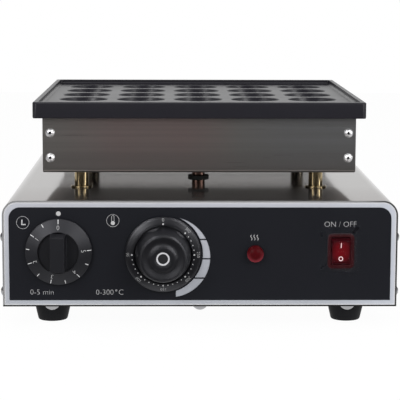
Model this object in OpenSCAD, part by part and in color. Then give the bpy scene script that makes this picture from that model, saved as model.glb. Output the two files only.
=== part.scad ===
// Mini pancake maker: a cast pan with a grid of round pits over an electric heater box,
// carried on brass posts above a sheet-steel housing with a timer, a thermostat and a switch.
// Millimetres. X right, Y to the back, Z up; the origin is under the middle of the overall box.

/* [Housing] */
// Width of the housing over its side sheets
housing_w = 330; // [315:1:380]
// Depth of the housing from front edge to rear edge
housing_d = 380; // [340:1:440]
// Height of the housing from the underside of the base plate to its top
housing_h = 89.5; // [86:0.5:120]
// Radius of the two folded top edges of the housing
corner_r = 12.5; // [6:0.5:20]
// Thickness of the steel sheet
sheet_t = 1.2; // [0.8:0.1:2]
// Depth of the folded flanges of the front and rear panels
flange_d = 18; // [15:1:30]
// Distance of the side screws from the front and rear edges
edge_inset = 10; // [8:0.5:12]
// Depth below the housing top of the upper side screws
side_screw_high = 32; // [24:1:36]
// Height of the lower side screws above the base
side_screw_low = 11.5; // [9:0.5:24]
// Diameter of the heads of the side screws
side_head_d = 9.5; // [8:0.5:11]
// Height of the heads of the side screws
side_head_h = 2.8; // [2:0.1:3.5]
// Distance of the outer base screws from the middle
base_screw_x = 124.5; // [60:0.5:140]
// Distance of the base screws from the front and rear edges
base_screw_inset = 8; // [7.5:0.5:12]
// Diameter of the base screws
base_screw_d = 6; // [4:0.5:6]
// Diameter of the heads of the base screws
base_head_d = 13; // [10:0.5:14]
// Height of the heads of the base screws
base_head_h = 4.5; // [3:0.25:6]
// Width of one ventilation slot
vent_w = 3; // [2:0.5:3.5]
// Length of one ventilation slot
vent_len = 34; // [20:1:50]
// Spacing of the ventilation slots
vent_pitch = 8; // [6:0.5:12]
// Number of ventilation slots in a row
vent_count = 10; // [4:1:12]
// Depth below the housing top of the slots in the rear panel
vent_drop = 20; // [16:1:24]

/* [Control face] */
// Thickness of the silver face plate
face_t = 1; // [0.6:0.1:2]
// Thickness of the black legend film
film_t = 0.3; // [0.2:0.05:0.6]
// Width of the silver border left round the film
border_w = 4.2; // [3:0.1:10]
// Radius of the top corners of the film
film_corner_r = 9.5; // [4:0.5:14]

/* [Timer] */
// Timer axis to the right of the middle
timer_x = -118; // [-124:0.5:-100]
// Timer axis below the housing top
timer_drop = 42.6; // [40:0.2:46]
// Diameter of the timer dial
timer_d = 55.5; // [46:0.5:60]
// Reach of the timer knob in front of the film
timer_h = 20; // [16:0.5:23]
// Height of the rim of the timer dial
timer_rim_h = 3.2; // [2:0.1:5]
// Height of the inner edge of the timer dial
timer_dial_h = 8; // [6.5:0.5:10]
// Diameter of the finger well in the timer dial
timer_well_d = 34; // [28:0.5:38]
// Height of the floor of the finger wells
timer_floor_h = 6; // [3:0.25:6]
// Width of the grip bar at its root
grip_root_w = 14; // [11:0.5:16]
// Width of the grip bar at its front
grip_front_w = 11.6; // [9:0.2:13]
// Length of the grip bar at its front
grip_front_len = 29; // [22:0.5:32]
// Side of the timer mechanism
timer_body_w = 46; // [40:1:54]
// Depth of the timer mechanism
timer_body_d = 28; // [24:1:40]

/* [Thermostat] */
// Thermostat axis to the right of the middle
temp_x = -31; // [-40:0.5:-24]
// Thermostat axis below the housing top
temp_drop = 44.8; // [42:0.2:46]
// Diameter of the temperature dial
temp_d = 63.4; // [58:0.2:66]
// Diameter of the raised body of the temperature knob
temp_body_d = 47; // [42:0.5:50]
// Reach of the temperature knob in front of the film
temp_h = 24; // [20:0.5:30]
// Height of the rim of the temperature dial
temp_rim_h = 3; // [2.4:0.1:4]
// Height of the temperature dial where the body rises
temp_dial_h = 5.2; // [4.5:0.1:8]
// Number of finger scallops round the body
scallop_count = 6; // [4:1:9]
// Radius of a finger scallop
scallop_r = 13; // [8:0.5:18]
// Depth of a finger scallop
scallop_depth = 2; // [0.8:0.1:3]
// Diameter of the boss in the middle of the knob
temp_boss_d = 24; // [18:0.5:28]
// Diameter of the plain metal disc in the boss
disc_d = 11.2; // [8:0.2:15]
// Width of the raised rim of the disc
disc_rim = 1.2; // [0.6:0.1:2]
// Thickness of the metal disc
disc_t = 1.2; // [0.8:0.1:2]
// Side of the thermostat mechanism
temp_body_w = 44; // [38:1:52]
// Depth of the thermostat mechanism
temp_body_depth = 36; // [30:1:46]
// Radius of the inner arc of the dial scale
scale_inner_r = 33.2; // [33:0.1:34.4]
// Radius of the outer arc of the dial scale
scale_outer_r = 34.2; // [33.8:0.1:35]
// Offset of the outer arc to the right
scale_shift_x = 5.2; // [4:0.2:7]
// Offset of the outer arc downwards
scale_shift_z = 2.8; // [1:0.2:3.4]
// Distance of the cut lower end of the scale to the right of the axis
scale_end_x = 10.7; // [8:0.1:14]
// Width of the dark lines that split the scale
scale_line_w = 1; // [0.6:0.1:2]
// Height of the upper scale line above the axis
scale_line_top = 12.3; // [10:0.1:14]
// Spacing of the scale lines
scale_line_pitch = 16.4; // [14:0.1:17]

/* [Shafts] */
// Diameter of the control shafts
shaft_d = 6; // [5:0.5:8]
// Depth of the flat on the control shafts
shaft_flat = 1.5; // [1:0.1:2]
// Length of shaft that runs inside a mechanism
shaft_seat = 14; // [10:1:20]
// Thickness of knob left in front of a shaft
knob_crown = 4; // [3:0.5:6]
// Distance of the mechanisms' screws from the shafts
mech_screw_x = 14; // [11:0.5:17]

/* [Lamp and switch] */
// Lamp axis to the right of the middle
lamp_x = 45.9; // [30:0.1:70]
// Lamp axis below the housing top
lamp_drop = 44.2; // [30:0.2:56]
// Diameter of the lamp lens
lamp_d = 13.8; // [11:0.2:18]
// Reach of the lamp lens in front of the film
lamp_out = 8; // [6.5:0.5:10]
// Diameter of the neck of the lamp lens
lamp_neck_d = 9; // [6:0.5:10]
// Depth of the lamp body behind the panel
lamp_body_len = 20; // [14:1:30]
// Switch axis to the right of the middle
switch_x = 117.5; // [96:0.5:130]
// Switch axis below the housing top
switch_drop = 42.2; // [34:0.2:52]
// Width of the flange of the switch boot
boot_w = 33.5; // [30:0.5:38]
// Height of the flange of the switch boot
boot_h = 41; // [36:0.5:46]
// Thickness of the flange of the switch boot
boot_t = 2; // [1:0.2:3]
// Width of the dome of the switch boot
dome_w = 24.2; // [22:0.2:28]
// Height of the dome of the switch boot
dome_h = 31.4; // [28:0.2:34]
// Reach of the dome in front of the film
dome_out = 10; // [9:0.5:14]
// Wall of the dome
dome_t = 0.9; // [0.6:0.1:1.4]
// Half of the travel of the rocker
rocker_tilt = 9; // [5:1:11]
// Depth of the switch behind the film
switch_depth = 26; // [20:1:36]

/* [Feet] */
// Height of a rubber foot
foot_h = 18; // [14:0.5:30]
// Diameter of a foot at the base plate
foot_top_d = 33; // [26:0.5:40]
// Diameter of a foot at the floor
foot_bottom_d = 24.8; // [20:0.2:32]
// Distance of the feet from the middle
foot_x = 126; // [90:1:135]
// Distance of the feet from the front and rear edges
foot_inset = 36; // [34:1:80]
// Diameter of the foot screws
foot_screw_d = 5; // [4:0.5:6]

/* [Heater box] */
// Width and depth of the heater box
box_w = 270; // [262:1:276]
// Height of the heater box
box_h = 47.5; // [46:0.5:70]
// Gap between the housing top and the heater box
box_gap = 16.5; // [10:0.5:30]
// Radius of the lower folds of the heater box
box_bend_r = 3; // [2:0.5:6]
// Radius of the lower corners of the end plates
box_corner_r = 1.5; // [0.5:0.25:3]
// Depth of the folds of the end plates and of the tray's screw flanges
box_flange = 13; // [11:0.5:16]
// Distance of the box screws from the sides of the box
box_screw_x = 6.5; // [5.5:0.25:7.5]
// Distance of the box screws from the top and bottom of the box
box_screw_z = 13; // [9:0.5:18]
// Thickness of the insulation on the floor of the box
pad_t = 17; // [10:1:18]

/* [Pan] */
// Width and depth of the pan
pan_w = 286; // [278:1:310]
// Height of the outer skirt of the pan
skirt_h = 14; // [12:0.5:20]
// Width of the raised lip
lip_w = 4.75; // [3:0.25:8]
// Height of the lip above the cooking face
lip_h = 4.5; // [3:0.25:6]
// Radius of the corners of the pan
pan_corner_r = 4; // [2:0.5:8]
// Radius of the outer edges of the pan
pan_edge_r = 1.5; // [0.5:0.1:2.5]
// Radius of the hollow at the foot of the lip
lip_foot_r = 2.5; // [0.5:0.25:3]
// Depth of the pan body below its skirt
slab_drop = 8; // [6.5:0.5:12]
// Clearance between the pan body and the box sheets
slab_gap = 3; // [2:0.5:6]
// Number of pits along each side
pit_count = 5; // [3:1:5]
// Diameter of a pit
pit_d = 45; // [36:0.5:48]
// Depth of a pit
pit_depth = 11; // [8:0.5:12]
// Spacing of the pits
pit_pitch = 52; // [50:0.5:54]
// Radius of the rounded rim of a pit
pit_rim_r = 1.5; // [0.5:0.1:1.8]

/* [Posts] */
// Diameter of a brass post
post_d = 12.6; // [9:0.2:18]
// Distance of the posts from the sides of the heater box
post_inset = 31.5; // [27:0.5:40]
// Diameter of the disc under a post
post_washer_d = 19; // [15:0.5:26]
// Thickness of the disc under a post
post_washer_t = 1.5; // [1:0.25:4]
// Diameter of the tie studs
stud_d = 6; // [5:0.5:8]
// Diameter of the bosses under the pan that take the tie studs
boss_d = 16; // [13:0.5:20]
// Height of those bosses
boss_h = 9; // [6:0.5:10]
// Diameter of the wiring tube
conduit_d = 11.6; // [11:0.2:14]
// Wall of the wiring tube
conduit_t = 1.2; // [0.8:0.1:1.5]
// Wiring tube in front of the middle of the pan
conduit_forward = 85; // [80:0.5:88]
// Diameter of the rubber grommet that is pushed on the wiring tube
grommet_d = 18.6; // [16:0.2:24]
// Height of the grommet
grommet_h = 4; // [2:0.25:6]
// Gap between the housing top and the grommet
grommet_gap = 4.5; // [2:0.25:5]

/* [Heater] */
// Diameter of the heating tube
heater_d = 6.6; // [5.5:0.1:7.5]
// Where the straight runs of the heating tube end, from the middle of the pan
heater_run = 72; // [60:1:76]
// Distance of the clamp bars from the middle of the pan
clamp_y = 30; // [28:0.5:34]
// Width of a clamp bar
clamp_w = 14; // [10:0.5:16]
// Diameter of the temperature sensor
bulb_d = 6; // [5:0.2:7]
// Length of the temperature sensor
bulb_len = 34; // [24:1:36]

/* [Cable gland] */
// Gland axis from the right side of the housing
gland_inset = 55; // [35:1:85]
// Gland axis above the base plate
gland_z = 30; // [24:0.5:50]
// Reach of the gland behind the housing
gland_out = 20; // [16:0.5:30]
// Diameter of the hole through the gland
gland_bore_d = 9; // [6:0.5:10]

/* [Fasteners and clearances] */
// Diameter of the sheet-metal screws
screw_d = 4; // [3:0.5:5]
// Diameter of their heads
screw_head_d = 8; // [7:0.5:10]
// Height of their heads
screw_head_h = 2.2; // [1.6:0.1:2.8]
// Length of their shanks
screw_len = 8; // [6:0.5:11]
// Gap between sheets that slip into each other
fit_gap = 0.15; // [0.1:0.05:0.4]
// Radial gap of a shaft or pin that turns in its hole
run_gap = 0.05; // [0.02:0.01:0.08]
// Gap between a knob and the film
knob_gap = 0.8; // [0.5:0.1:1.5]

/* [Hidden] */
$fn = 64;

// Heights
z_base = foot_h;
z_inside = z_base + sheet_t;
z_top = z_base + housing_h;
z_box = z_top + box_gap;
z_box_floor = z_box + 2 * sheet_t;
z_pad = z_box_floor + pad_t;
z_rim = z_box + box_h;
z_under = z_rim - slab_drop;
z_lip = z_rim + skirt_h;
z_plate = z_lip - lip_h;
side_screw_z = [z_top - side_screw_high, z_base + side_screw_low];

// Depths
front_reach = film_t + max(timer_h, temp_h, dome_out);
y_front = front_reach - (front_reach + housing_d + gland_out) / 2;
y_back = y_front + housing_d;
y_mid = (y_front + y_back) / 2;
y_film = y_front - film_t;
panel_t = film_t + face_t + sheet_t;
y_conduit = y_mid - conduit_forward;

// Widths
inner_w = housing_w - 2 * sheet_t;
shaft_clear = 0.5;
socket_share = 0.32;
socket_sink = 0.6;
slab_w = box_w - 2 * sheet_t - 2 * slab_gap;
post_at = box_w / 2 - post_inset;
box_screw_at = box_w / 2 - box_screw_x;
face_bottom = z_inside;
face_h = z_top - sheet_t - face_bottom;

// Pit bowl: a sphere whose edge is rounded into the cooking face
pit_r = (pow(pit_d / 2, 2) + pow(pit_depth, 2)) / (2 * pit_depth);
pit_rise = pit_r - pit_depth;
rim_at = sqrt(pow(pit_r + pit_rim_r, 2) - pow(pit_rise + pit_rim_r, 2));
rim_share = pit_r / (pit_r + pit_rim_r);

// Heating tube: four runs between the rows of pits
run_x = pit_pitch / 2;
z_heater = z_under;
terminal_inset = 8;
heater_end = terminal_inset - conduit_forward;
groove_gap = 0.1;
clamp_t = 2;
z_clamp = z_heater - heater_d / 2 - groove_gap - clamp_t;
clamp_bolt_d = 5;
clamp_bolt_head = 3.6;
nut_share = 1.65;
blind_gap = 0.5;
bolt_grip = 5;
pin_d = 2.5;
pin_len = 14;
bush_len = 4;

// Sensor, its clip and its thin tube
z_bulb = z_under - bulb_d / 2 - groove_gap;
bulb_front = -16;
clip_t = 1;
clip_w = 10;
clip_room = 0.9;
clip_ear = bulb_d / 2 + groove_gap + clip_t + clip_room + screw_head_d / 2;
capillary_d = 1.6;
capillary_low = z_clamp - 2.6;
capillary_in_conduit = -2.8;
capillary_rise = 5;
capillary_turn = 14;

// Leads through the wiring tube
lead_d = 2.4;
lead_in_conduit = [2.6, 0.8];
z_lead = z_pad + 5;
lead_turn = 22;
pad_clear = 0.5;
conduit_flange = 3;

// Stack on the tie studs inside the housing
tie_washer_t = 1.6;
tie_nut_t = 5;
stud_grip = boss_h + 1.5;
stud_tail = 2;

// Feet
foot_y = housing_d / 2 - foot_inset;
foot_recess_d = 2 * foot_screw_d + 2;
foot_recess_h = foot_h / 2;
foot_head_d = foot_recess_d - 1.5;
foot_head_h = 3;
foot_nut_t = 4;
foot_tail = 1;

// Base plate
base_vent_forward = 20;
base_vent_spread = 60;

// Knobs and mechanisms
mech_corner_r = 4;
knob_edge_r = 2;
knob_dish = 1.6;
knob_taper = 3.5;
knob_moat_w = 1.1;
knob_moat_depth = 2;
scallop_turn = 50;
scallop_foot = 0.5;
disc_dish = 0.4;
lamp_rim = 4.5;
lamp_seat = 6;

// Switch
boot_corner_r = 4;
dome_corner_r = 5;
bezel_corner_r = dome_corner_r - dome_t - fit_gap;
bezel_t = 1.5;
bezel_w = dome_w - 2 * dome_t - 2 * fit_gap;
bezel_h = dome_h - 2 * dome_t - 2 * fit_gap;
bezel_lip = 2;
switch_w = bezel_w - 2 * bezel_lip;
switch_h = bezel_h - 2 * bezel_lip;
switch_wall = 1;
well_w = switch_w - 2 * switch_wall;
well_h = switch_h - 2 * switch_wall;
rocker_gap = 0.4;
rocker_r = well_h / 2 - rocker_gap;
rocker_w = well_w - 2 * rocker_gap;
rocker_mid = 4.2;
rocker_back = 3;
rocker_dish_r = 30;
rocker_pin_d = 3;
pivot_depth = 2.5;
rocker_room = 3.5;
well_depth = pivot_depth + rocker_back + rocker_room;

// Mechanism terminals, terminal block and wiring inside the housing
blade_w = 6.3;
blade_t = 0.8;
blade_len = 9;
block_w = 48;
block_d = 20;
block_h = 20;
block_back = 70;
block_pole = 10;
y_block = y_mid + block_back;
wire_d = 2.4;
wire_bend = 2.2;
z_wire = z_inside + block_h / 2;
end_gap = 0.1;
lead_rise = 8;
lane_pitch = 6;

// Where each blade terminal leaves its mechanism: x, drop below the top, depth behind the film
blade_off = 8;
switch_blade_x = 5;
switch_blade_low = 6;
switch_blade_drop = switch_drop + switch_blade_low;
timer_blade = [timer_x - blade_off, timer_drop + blade_off, panel_t + timer_body_d];
temp_blade = [temp_x - blade_off, temp_drop + blade_off, panel_t + temp_body_depth];
switch_blades = [
    [switch_x - switch_blade_x, switch_blade_drop, switch_depth],
    [switch_x + switch_blade_x, switch_blade_drop, switch_depth]
];

// Cable gland
gland_x = housing_w / 2 - gland_inset;
gland_thread_d = gland_bore_d + 5;
gland_hex = gland_thread_d + 4;
gland_cone_d = gland_hex - 1;
gland_tip_d = gland_bore_d + 4;
gland_foot = 5;
gland_inside = 9;
gland_nut_t = 4;

// Shared shapes

module round_rect(w, h, r) {
    square([w - 2 * r, h], center = true);
    square([w, h - 2 * r], center = true);
    for (x = [-1, 1], y = [-1, 1])
        translate([x * (w / 2 - r), y * (h / 2 - r)])
            circle(r = r);
}

// A rectangle standing on y = 0 with its two upper corners rounded
module arch_rect(w, h, r) {
    translate([-w / 2, 0])
        square([w, h - r]);
    translate([-w / 2 + r, 0])
        square([w - 2 * r, h]);
    for (x = [-1, 1])
        translate([x * (w / 2 - r), h - r])
            circle(r = r);
}

// A profile drawn in x and z, drawn out from y0 to y1
module along_y(y0, y1) {
    translate([0, y1, 0])
        rotate([90, 0, 0])
            linear_extrude(y1 - y0)
                children();
}

// A place on the control face: x right, y up, z out of the film
module at_face(x, drop) {
    translate([x, y_film, z_top - drop])
        rotate([90, 0, 0])
            children();
}

// A place on the rear panel: z out of it
module at_rear(x, z) {
    translate([x, y_back, z])
        rotate([-90, 0, 0])
            children();
}

module four_corners(x, y) {
    for (i = [-1, 1], j = [-1, 1])
        translate([i * x, j * y])
            children();
}

// Dome-head screw with a hexagon socket: head above z = 0, shank below it
module dome_screw(d, head_d, head_h, len) {
    cap_r = (pow(head_d / 2, 2) + pow(head_h, 2)) / (2 * head_h);
    difference() {
        intersection() {
            translate([0, 0, head_h - cap_r])
                sphere(r = cap_r);
            cylinder(d = head_d, h = head_h);
        }
        translate([0, 0, head_h * (1 - socket_sink)])
            hex(head_d * socket_share, head_h);
    }
    translate([0, 0, -len])
        cylinder(d = d, h = len);
}

module hex(af, h) {
    cylinder(d = af / cos(30), h = h, $fn = 6);
}

function unit(v) = v / norm(v);

// A round wire along the axes through a list of points, bent with one radius at each turn
module wire(points, d) {
    last = len(points) - 1;
    arms = [for (i = [0 : last - 1]) unit(points[i + 1] - points[i])];
    for (i = [0 : last - 1]) {
        before = i > 0 ? wire_bend : 0;
        after = i < last - 1 ? wire_bend : 0;
        translate(points[i] + before * arms[i])
            rotate([0, acos(arms[i].z), atan2(arms[i].y, arms[i].x)])
                cylinder(d = d, h = norm(points[i + 1] - points[i]) - before - after);
    }
    for (i = [1 : last - 1]) {
        x = -arms[i];
        y = arms[i - 1];
        z = cross(x, y);
        c = points[i] + wire_bend * (arms[i] - arms[i - 1]);
        multmatrix([[x.x, y.x, z.x, c.x], [x.y, y.y, z.y, c.y], [x.z, y.z, z.z, c.z]])
            rotate_extrude(angle = 90)
                translate([wire_bend, 0])
                    circle(d = d);
    }
}

// Cast pan

module pit() {
    translate([0, 0, pit_rise])
        sphere(r = pit_r);
    rotate_extrude()
        difference() {
            polygon([
                [rim_at, 0],
                [rim_at, -pit_rim_r],
                [rim_at * rim_share, pit_rise - (pit_rise + pit_rim_r) * rim_share],
                [rim_at * rim_share, 0]
            ]);
            translate([rim_at, -pit_rim_r])
                circle(r = pit_rim_r);
        }
}

// Heating tube laid in four runs; its groove runs on past the two ends by a tail
module heater_path(d, tail = 0) {
    for (side = [-1, 1]) {
        translate([side * run_x, -heater_run, 0])
            rotate([-90, 0, 0])
                cylinder(d = d, h = 2 * heater_run);
        translate([side * 3 * run_x, heater_end - tail, 0])
            rotate([-90, 0, 0])
                cylinder(d = d, h = heater_run - heater_end + tail);
        translate([side * 2 * run_x, heater_run, 0])
            rotate_extrude(angle = 180)
                translate([run_x, 0])
                    circle(d = d);
    }
    translate([0, -heater_run, 0])
        rotate([0, 0, 180])
            rotate_extrude(angle = 180)
                translate([run_x, 0])
                    circle(d = d);
}

// A square block with rounded corners and edges, standing on z = 0
module soft_block(w, h, corner, edge) {
    intersection() {
        linear_extrude(h)
            round_rect(w, w, corner);
        translate([0, 0, h / 2])
            along_y(-w, w)
                round_rect(w, h, edge);
        translate([0, 0, h / 2])
            rotate([0, 0, 90])
                along_y(-w, w)
                    round_rect(w, h, edge);
    }
}

module griddle_plate() {
    pit_span = (pit_count - 1) * pit_pitch / 2;
    hole_gap = 2 * run_gap;
    color("#2b2a2d")
    translate([0, y_mid, 0])
    difference() {
        union() {
            translate([0, 0, z_rim])
                soft_block(pan_w, skirt_h, pan_corner_r, pan_edge_r);
            translate([0, 0, z_under])
                linear_extrude(slab_drop)
                    round_rect(slab_w, slab_w, pan_corner_r);
            four_corners(post_at, post_at)
                translate([0, 0, z_under - boss_h])
                    cylinder(d = boss_d, h = boss_h);
        }
        translate([0, 0, z_plate])
            soft_block(pan_w - 2 * lip_w, 2 * lip_h, pan_corner_r / 2, lip_foot_r);
        for (x = [-pit_span : pit_pitch : pit_span], y = [-pit_span : pit_pitch : pit_span])
            translate([x, y, z_plate])
                pit();
        translate([0, 0, z_heater])
            heater_path(heater_d + 2 * groove_gap, pin_len + blind_gap);
        four_corners(post_at, post_at)
            translate([0, 0, z_under - boss_h])
                cylinder(d = stud_d + hole_gap, h = stud_grip + blind_gap);
        four_corners(2 * run_x, clamp_y)
            translate([0, 0, z_under])
                cylinder(d = clamp_bolt_d + hole_gap, h = bolt_grip);
        for (side = [-1, 1])
            translate([side * clip_ear, 0, z_under])
                cylinder(d = screw_d + hole_gap, h = bolt_grip);
    }
}

// Heater box

module heater_box_tray() {
    inside = box_w - 2 * sheet_t;
    flange_h = z_rim - z_box_floor;
    color("#8f8b88")
    translate([0, y_mid, 0])
    difference() {
        union() {
            difference() {
                along_y(-inside / 2, inside / 2)
                    difference() {
                        translate([0, z_rim])
                            mirror([0, 1])
                                arch_rect(box_w, box_h - sheet_t, box_bend_r);
                        translate([0, z_rim + sheet_t])
                            mirror([0, 1])
                                arch_rect(inside, box_h - sheet_t, box_bend_r - sheet_t);
                    }
                translate([0, 0, z_box])
                    four_corners(post_at, post_at)
                        cylinder(d = stud_d + 2 * fit_gap, h = 3 * sheet_t);
                translate([0, -conduit_forward, z_box])
                    cylinder(d = conduit_d + 2 * fit_gap, h = 3 * sheet_t);
            }
            translate([-box_flange / 2, -sheet_t / 2, z_box_floor])
                four_corners((inside - box_flange) / 2, (inside - sheet_t) / 2)
                    cube([box_flange, sheet_t, flange_h]);
        }
        box_screw_holes();
    }
}

module box_screw_holes() {
    for (x = [-1, 1], z = [z_box + box_screw_z, z_rim - box_screw_z])
        translate([x * box_screw_at, -box_w, z])
            rotate([-90, 0, 0])
                cylinder(d = screw_d + 2 * run_gap, h = 2 * box_w);
}

// Section of an end plate: the upright sheet and the fold under the tray
module box_end_section() {
    difference() {
        translate([0, z_box])
            intersection() {
                union() {
                    square([sheet_t, box_h]);
                    square([box_flange, sheet_t]);
                    square([box_bend_r, box_bend_r]);
                }
                union() {
                    translate([box_bend_r, box_bend_r])
                        circle(r = box_bend_r);
                    translate([box_bend_r, 0])
                        square([box_flange, box_h]);
                    translate([0, box_bend_r])
                        square([box_flange, box_h]);
                }
            }
        translate([sheet_t, z_box + sheet_t])
            square([box_flange, box_h]);
    }
}

// End plate of the heater box, drawn as the front one
module box_end() {
    color("#6f6a69")
    difference() {
        intersection() {
            translate([-box_w / 2, -box_w / 2, 0])
                rotate([90, 0, 90])
                    linear_extrude(box_w)
                        box_end_section();
            along_y(-box_w, 0)
                translate([0, z_rim + box_h])
                    mirror([0, 1])
                        arch_rect(box_w, 2 * box_h, box_corner_r);
        }
        box_screw_holes();
    }
}

module heater_box_front() {
    translate([0, y_mid, 0])
        box_end();
}

module heater_box_rear() {
    translate([0, y_mid, 0])
        mirror([0, 1, 0])
            box_end();
}

module heater_box_screws() {
    color("gainsboro")
    translate([0, y_mid, 0])
    for (side = [0, 1], x = [-1, 1], z = [z_box + box_screw_z, z_rim - box_screw_z])
        mirror([0, side, 0])
            translate([x * box_screw_at, -box_w / 2, z])
                rotate([90, 0, 0])
                    dome_screw(screw_d, screw_head_d, screw_head_h, screw_len);
}

module insulation_pad() {
    side = box_w - 2 * sheet_t - 2 * box_flange;
    color("#d9d2c0")
    translate([0, y_mid, z_box_floor])
    difference() {
        translate([-side / 2, -side / 2, 0])
            cube([side, side, pad_t]);
        pad_holes(pad_t);
    }
}

module reflector_plate() {
    side = box_w - 2 * sheet_t - 2 * box_flange;
    color("lightgray")
    translate([0, y_mid, z_pad])
    difference() {
        translate([-side / 2, -side / 2, 0])
            cube([side, side, sheet_t]);
        pad_holes(sheet_t);
    }
}

module pad_holes(t) {
    four_corners(post_at, post_at)
        translate([0, 0, -t])
            cylinder(d = stud_d + 2 * pad_clear, h = 3 * t);
    translate([0, -conduit_forward, -t])
        cylinder(d = conduit_d + 2 * fit_gap, h = 3 * t);
}

// Heating element and sensor

module heating_element() {
    color("#7d7b78")
    translate([0, y_mid, z_heater])
        heater_path(heater_d);
}

module element_terminals() {
    color("#c9b27a")
    for (side = [-1, 1])
        translate([side * 3 * run_x, y_mid + heater_end, z_heater])
            rotate([90, 0, 0]) {
                cylinder(d = pin_d, h = pin_len);
                cylinder(d = heater_d - 1, h = bush_len);
            }
}

module element_clamps() {
    half = 3 * run_x + heater_d;
    color("#9a9a98")
    for (side = [-1, 1])
        translate([0, y_mid + side * clamp_y, z_clamp])
            difference() {
                translate([-half, -clamp_w / 2, 0])
                    cube([2 * half, clamp_w, clamp_t]);
                for (x = [-1, 1])
                    translate([x * 2 * run_x, 0, -clamp_t])
                        cylinder(d = clamp_bolt_d + 2 * fit_gap, h = 3 * clamp_t);
            }
}

module clamp_bolts() {
    color("silver")
    translate([0, y_mid, z_clamp])
    four_corners(2 * run_x, clamp_y) {
        translate([0, 0, -clamp_bolt_head])
            hex(nut_share * clamp_bolt_d, clamp_bolt_head);
        cylinder(d = clamp_bolt_d, h = z_under - z_clamp + bolt_grip - blind_gap);
    }
}

module sensor_bulb() {
    color("#b87e55")
    translate([0, y_mid + bulb_front, z_bulb])
        rotate([-90, 0, 0])
            cylinder(d = bulb_d, h = bulb_len);
}

module bulb_clip() {
    inner_r = bulb_d / 2 + groove_gap;
    drop = z_under - z_bulb;
    color("silver")
    translate([0, y_mid, 0])
    difference() {
        along_y(-clip_w / 2, clip_w / 2)
            translate([0, z_bulb])
                difference() {
                    union() {
                        circle(r = inner_r + clip_t);
                        translate([-inner_r - clip_t, 0])
                            square([2 * (inner_r + clip_t), drop]);
                        translate([-clip_ear - screw_head_d / 2, drop - clip_t])
                            square([2 * clip_ear + screw_head_d, clip_t]);
                    }
                    circle(r = inner_r);
                    translate([-inner_r, 0])
                        square([2 * inner_r, 2 * drop]);
                    translate([-clip_ear, drop])
                        square([2 * clip_ear, drop]);
                }
        for (side = [-1, 1])
            translate([side * clip_ear, 0, z_under - 2 * clip_t])
                cylinder(d = screw_d + 2 * fit_gap, h = 3 * clip_t);
    }
}

module clip_screws() {
    color("gainsboro")
    for (side = [-1, 1])
        translate([side * clip_ear, y_mid, z_under - clip_t])
            rotate([180, 0, 0])
                dome_screw(screw_d, screw_head_d, screw_head_h, clip_t + bolt_grip - blind_gap);
}

module capillary_tube() {
    y_pass = y_conduit + capillary_in_conduit;
    y_mech = y_film + panel_t + temp_body_depth;
    y_sensor = y_mid + bulb_front;
    z_turn = z_top - sheet_t - capillary_turn;
    color("#a8744c")
    wire([
        [temp_x, y_mech + end_gap, z_top - temp_drop],
        [temp_x, y_pass, z_top - temp_drop],
        [temp_x, y_pass, z_turn],
        [0, y_pass, z_turn],
        [0, y_pass, capillary_low],
        [0, y_sensor - capillary_rise, capillary_low],
        [0, y_sensor - capillary_rise, z_bulb],
        [0, y_sensor - end_gap, z_bulb]
    ], capillary_d);
}

module heater_leads() {
    y_pass = y_conduit + lead_in_conduit.y;
    z_turn = z_top - sheet_t - lead_turn;
    color("#c8c2b4")
    for (side = [-1, 1])
        wire([
            [side * block_pole, y_block, z_inside + block_h + end_gap],
            [side * block_pole, y_block, z_turn],
            [side * block_pole, y_pass, z_turn],
            [side * lead_in_conduit.x, y_pass, z_turn],
            [side * lead_in_conduit.x, y_pass, z_lead],
            [side * 3 * run_x, y_pass, z_lead],
            [side * 3 * run_x, y_pass, z_heater - pin_d / 2 - end_gap]
        ], lead_d);
}

// Posts, tie studs and wiring tube

module support_posts() {
    color("#b08a45")
    translate([0, y_mid, z_top + post_washer_t])
    four_corners(post_at, post_at)
        ring(post_d, stud_d + 2 * fit_gap, box_gap + sheet_t - post_washer_t);
}

module post_washers() {
    color("#a58447")
    translate([0, y_mid, z_top])
    four_corners(post_at, post_at)
        ring(post_washer_d, stud_d + 2 * fit_gap, post_washer_t);
}

module ring(outer_d, inner_d, t) {
    difference() {
        cylinder(d = outer_d, h = t);
        translate([0, 0, -t])
            cylinder(d = inner_d, h = 3 * t);
    }
}

module tie_washers() {
    color("silver")
    translate([0, y_mid, z_top - sheet_t - tie_washer_t])
    four_corners(post_at, post_at)
        ring(2 * stud_d, stud_d + 2 * fit_gap, tie_washer_t);
}

module tie_nuts() {
    color("silver")
    translate([0, y_mid, z_top - sheet_t - tie_washer_t - tie_nut_t])
    four_corners(post_at, post_at)
        difference() {
            hex(nut_share * stud_d, tie_nut_t);
            translate([0, 0, -tie_nut_t])
                cylinder(d = stud_d + 2 * run_gap, h = 3 * tie_nut_t);
        }
}

module tie_studs() {
    z_low = z_top - sheet_t - tie_washer_t - tie_nut_t - stud_tail;
    color("silver")
    translate([0, y_mid, z_low])
    four_corners(post_at, post_at)
        cylinder(d = stud_d, h = z_under - boss_h + stud_grip - z_low);
}

// Tube with a rolled flange that bears against the housing top from below
module wire_conduit() {
    z_low = z_top - sheet_t - conduit_t;
    bore = conduit_d - 2 * conduit_t;
    color("#7a4a33")
    translate([0, y_conduit, z_low]) {
        ring(conduit_d, bore, z_pad + 2 * sheet_t - z_low);
        ring(conduit_d + 2 * conduit_flange, bore, conduit_t);
    }
}

// Ring that keeps spilt batter from running down the tube into the housing
module conduit_grommet() {
    color("#151517")
    translate([0, y_conduit, z_top + grommet_gap])
        ring(grommet_d, conduit_d + 2 * run_gap, grommet_h);
}

// Housing

module side_screw_holes(d) {
    for (y = [y_front + edge_inset, y_back - edge_inset], z = side_screw_z)
        translate([-housing_w, y, z])
            rotate([0, 90, 0])
                cylinder(d = d, h = 2 * housing_w);
}

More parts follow.
